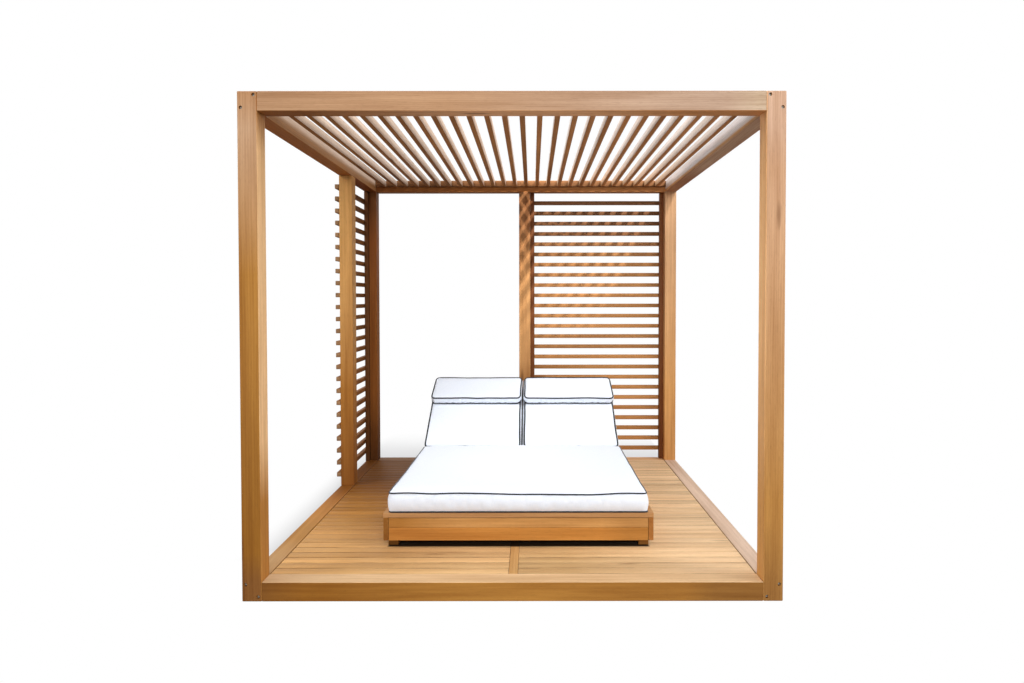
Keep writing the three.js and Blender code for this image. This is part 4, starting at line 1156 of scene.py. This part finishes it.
def piping(name, path, radius, place):
    """A round piping along a closed seam, a little outside it. Its UV runs round and along, in metres."""
    before, after = np.roll(path, 1, axis=0), np.roll(path, -1, axis=0)
    path = (before + 4 * path + after) / 6
    along = np.roll(path, -1, axis=0) - np.roll(path, 1, axis=0)
    along /= np.linalg.norm(along, axis=1, keepdims=True)
    up = np.array([0, 0, 1.0])
    out = np.cross(along, up)
    out /= np.linalg.norm(out, axis=1, keepdims=True)
    middle = path.mean(axis=0)
    if ((path - middle) * out).sum() < 0:
        out = -out
    rise = np.cross(out, along)
    rise *= np.sign(rise[:, 2:3])
    path = path + out * PIPING_STAND_OFF
    angles = np.arange(PIPING_SIDES) * math.tau / PIPING_SIDES
    rings = path[:, None] + radius * (
        out[:, None] * np.cos(angles)[None, :, None] + rise[:, None] * np.sin(angles)[None, :, None]
    )
    count = len(path)
    steps = np.linalg.norm(np.roll(path, -1, axis=0) - path, axis=1)
    run = np.concatenate([[0], np.cumsum(steps)])
    girth = math.tau * radius / PIPING_SIDES
    faces, cloth = [], []
    for here in range(count):
        for side in range(PIPING_SIDES):
            after = ((here + 1) % count, (side + 1) % PIPING_SIDES)
            corners = [(here, side), (after[0], side), after, (here, after[1])]
            faces.append([spot * PIPING_SIDES + turn for spot, turn in corners])
            spots = (run[here], run[here + 1], run[here + 1], run[here])
            cloth += zip(spots, (side, side, side + 1, side + 1))
    mesh = bpy.data.meshes.new(name)
    mesh.from_pydata(rings.reshape(-1, 3).tolist(), [], faces)
    slanted = [(spot + turn * girth, turn * girth - spot) for spot, turn in cloth]
    mesh.uv_layers.new(name="cloth").data.foreach_set("uv", np.array(slanted).ravel())
    tube = bpy.data.objects.new(name, mesh)
    scene.collection.objects.link(tube)
    bpy.ops.object.select_all(action="DESELECT")
    bpy.context.view_layer.objects.active = tube
    tube.select_set(True)
    bpy.ops.object.mode_set(mode="EDIT")
    bpy.ops.mesh.select_all(action="SELECT")
    bpy.ops.mesh.normals_make_consistent(inside=False)
    bpy.ops.object.mode_set(mode="OBJECT")
    tube.select_set(False)
    mesh.materials.append(piping_canvas)
    mesh.shade_smooth()
    mesh.transform(place)
    return tube


# The seat mattress lies loose on the seat frame, from the chaise's front to the hinge of the backrests.
low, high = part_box("seat_mattress")
MATTRESS_SEAMS = (1.446, 1.144)  # across and from front to rear
MATTRESS_MIDDLE = (0.0309, -0.199)
MATTRESS_TAPER = 0.012  # of its left side towards the rear
MATTRESS_REAR_DROP = 0.015  # of its upper seam, which the crown and the back cushions hide
MATTRESS_FRONT_SAG, MATTRESS_LEFT_LIFT = 0.008, 0.003  # of the upper seam at the front
MATTRESS_LOW_SPREAD = 0.006  # of the lower seam at the right
MATTRESS_SAG_PLACE, MATTRESS_SAG_REACH = 0.24, 0.3  # from its middle to the right, and how far it spreads
MATTRESS_FRONT_REACH = 0.3  # of the sag and the lift to the rear
MATTRESS_REAR_REACH = 0.04  # of the rear seam's drop
MATTRESS_REAR_PULL = 0.006  # of the same seam to the front

mattress = Cushion(
    "mattress",
    width=MATTRESS_SEAMS[0],
    length=MATTRESS_SEAMS[1],
    thickness=high.z - low.z,
    crown=0.018,
    bulge=0.009,
    corner=0.016,
    draw=0.003,
    cell=0.0145,
    piping=0.0042,
)
mattress.fill(pressure=4)
place = Matrix.Translation((*MATTRESS_MIDDLE, low.z))
points = mattress.rumple(seed=11, belly=0.008)
half = (MATTRESS_SEAMS[0] / 2, MATTRESS_SEAMS[1] / 2)
upper = points[:, 2] / mattress.height
lower = np.clip(1 - upper, 0, 1)
upper = np.clip(upper, 0, 1)
front = np.clip((MATTRESS_FRONT_REACH - half[1] - points[:, 1]) / MATTRESS_FRONT_REACH, 0, 1)
sag = MATTRESS_FRONT_SAG * np.exp(-(((points[:, 0] - MATTRESS_SAG_PLACE) / MATTRESS_SAG_REACH) ** 2))
lift = MATTRESS_LEFT_LIFT * np.clip(-points[:, 0] / half[0], 0, 1)
points[:, 2] += front * upper * (lift - sag)
points[:, 0] += MATTRESS_LOW_SPREAD * np.clip(points[:, 0] / half[0], 0, 1) ** 4 * lower
rear = np.clip((points[:, 1] - half[1] + MATTRESS_REAR_REACH) / MATTRESS_REAR_REACH, 0, 1) ** 2
points[:, 2] -= MATTRESS_REAR_DROP * rear * upper
points[:, 1] -= MATTRESS_REAR_PULL * rear * upper
rearward = points[:, 1] / MATTRESS_SEAMS[1] + 0.5
points[:, 0] += MATTRESS_TAPER * rearward * np.clip(-points[:, 0] / half[0], 0, 1)
cover, pipings = mattress.make("seat_mattress_cover", points, place)
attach(cover, "root")
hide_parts("seat_mattress")
for tube in pipings:
    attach(tube, "root")


# The back cushions lie on the backrests and meet the mattress in a crease. A head pillow lies on the upper
# end of each.
FRAME_HALF = 0.012  # half the thickness of the backrest frames
BACK_START, BACK_END = 0.053, 0.675  # of its seams, up the backrest from the hinge
BACK_WIDTH = 0.689
BACK_MIDDLE = 0.3625  # from the chaise's middle line
MATTRESS_CLEARANCE = 0.0003
BACK_GAP, PILLOW_GAP = 0.001, 0.013  # between the boxings in the middle
PILLOW_SPREAD = 0.007  # towards the lower end, at the outer side
PILLOW_LEAN = {"left": {"lean": 0.01, "narrow": 0.003}, "right": {"narrow": 0.007}}
PILLOW_LOW_SAG = 0.008  # of its lower seam, down the back cushion
PILLOW_REACH = 0.002  # past the back cushion's upper seam
BACK_END_DROP = 0.012  # of its upper seam at the lower end, which sinks into the crease
LOWER_END = 0.05  # the length over which a cushion's lower end drops or sags
INNER_BOXING = 0.985  # of half the width, past which the boxing is the inner side's

back_thickness, back_length = 0.108, BACK_END - BACK_START
pillow_thickness, pillow_length = 0.063, 0.216
back = Cushion(
    "back",
    width=BACK_WIDTH,
    length=back_length,
    thickness=back_thickness,
    crown=0.006,
    bulge=0.0155,
    corner=0.016,
    draw=0.002,
    cell=0.0125,
    piping=0.0058,
)
back.fill(pressure=8)
pillow = Cushion(
    "pillow",
    width=BACK_WIDTH,
    length=pillow_length,
    thickness=pillow_thickness,
    crown=0.009,
    bulge=0.012,
    corner=0.024,
    draw=0.002,
    cell=0.0115,
    piping=0.0053,
)
pillow.fill(pressure=8)


def splayed(points, length, spread, narrow=0.0, lean=0.0):
    """Widens a left cushion's outer side towards the lower end, narrows it towards the upper end, and lets
    the upper end lean to the right."""
    outer = np.clip(-points[:, 0] / (BACK_WIDTH / 2), 0, None)
    up = points[:, 1] / length
    points[:, 0] += lean * (up + 0.5) - outer * (spread * np.clip(0.5 - up, 0, 1) - narrow * (up + 0.5))
    return points


def meeting(cushion, points, gap):
    """Swells the boxing on a left cushion's inner side until it all but meets its neighbour."""
    reach = BACK_MIDDLE - gap / 2
    boxing = np.arange(len(points)) >= 2 * cushion.count
    inner = boxing & (cushion.points[:, 0] > BACK_WIDTH / 2 * INNER_BOXING)
    swell = 1 - np.abs(2 * points[inner, 2] / cushion.height - 1) ** 3
    points[inner, 0] += (reach - points[inner, 0]) * np.clip(swell, 0, 1)
    return points


for side, sign, seed, spread in [("left", -1, 21, 0.011), ("right", 1, 31, 0.005)]:
    middle = CHAISE_MIDDLE + sign * BACK_MIDDLE
    body = f"back_{side}"
    lift = FRAME_HALF + MATTRESS_CLEARANCE
    place = to_hinge @ Matrix.Translation((middle, (BACK_START + BACK_END) / 2, lift))
    points = meeting(back, back.rumple(seed, belly=0.002), BACK_GAP)
    points = splayed(points, back_length, spread)
    lower_end = np.clip(1 - (points[:, 1] + back_length / 2) / LOWER_END, 0, 1) ** 2
    points[:, 2] -= BACK_END_DROP * lower_end * np.clip(points[:, 2] / back.height, 0, 1)
    cover, pipings = back.make(f"back_cushion_cover_{side}", points, place, mirrored=sign > 0)
    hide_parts(f"back_cushion_{side}")
    for soft in [cover, *pipings]:
        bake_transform(soft)
    lift = FRAME_HALF + back_thickness + 2 * MATTRESS_CLEARANCE
    place = to_hinge @ Matrix.Translation((middle, BACK_END + PILLOW_REACH - pillow_length / 2, lift))
    points = meeting(pillow, pillow.rumple(seed + 5, belly=0.003), PILLOW_GAP)
    points = splayed(points, pillow_length, PILLOW_SPREAD, **PILLOW_LEAN[side])
    lower_end = np.clip(1 - (points[:, 1] + pillow_length / 2) / LOWER_END, 0, 1)
    points[:, 1] -= PILLOW_LOW_SAG * lower_end * np.clip(1 - points[:, 2] / pillow.height, 0, 1)
    cover, pipings = pillow.make(f"head_pillow_cover_{side}", points, place, mirrored=sign > 0)
    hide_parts(f"head_pillow_{side}")
    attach(cover, body)
    for tube in pipings:
        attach(tube, body)
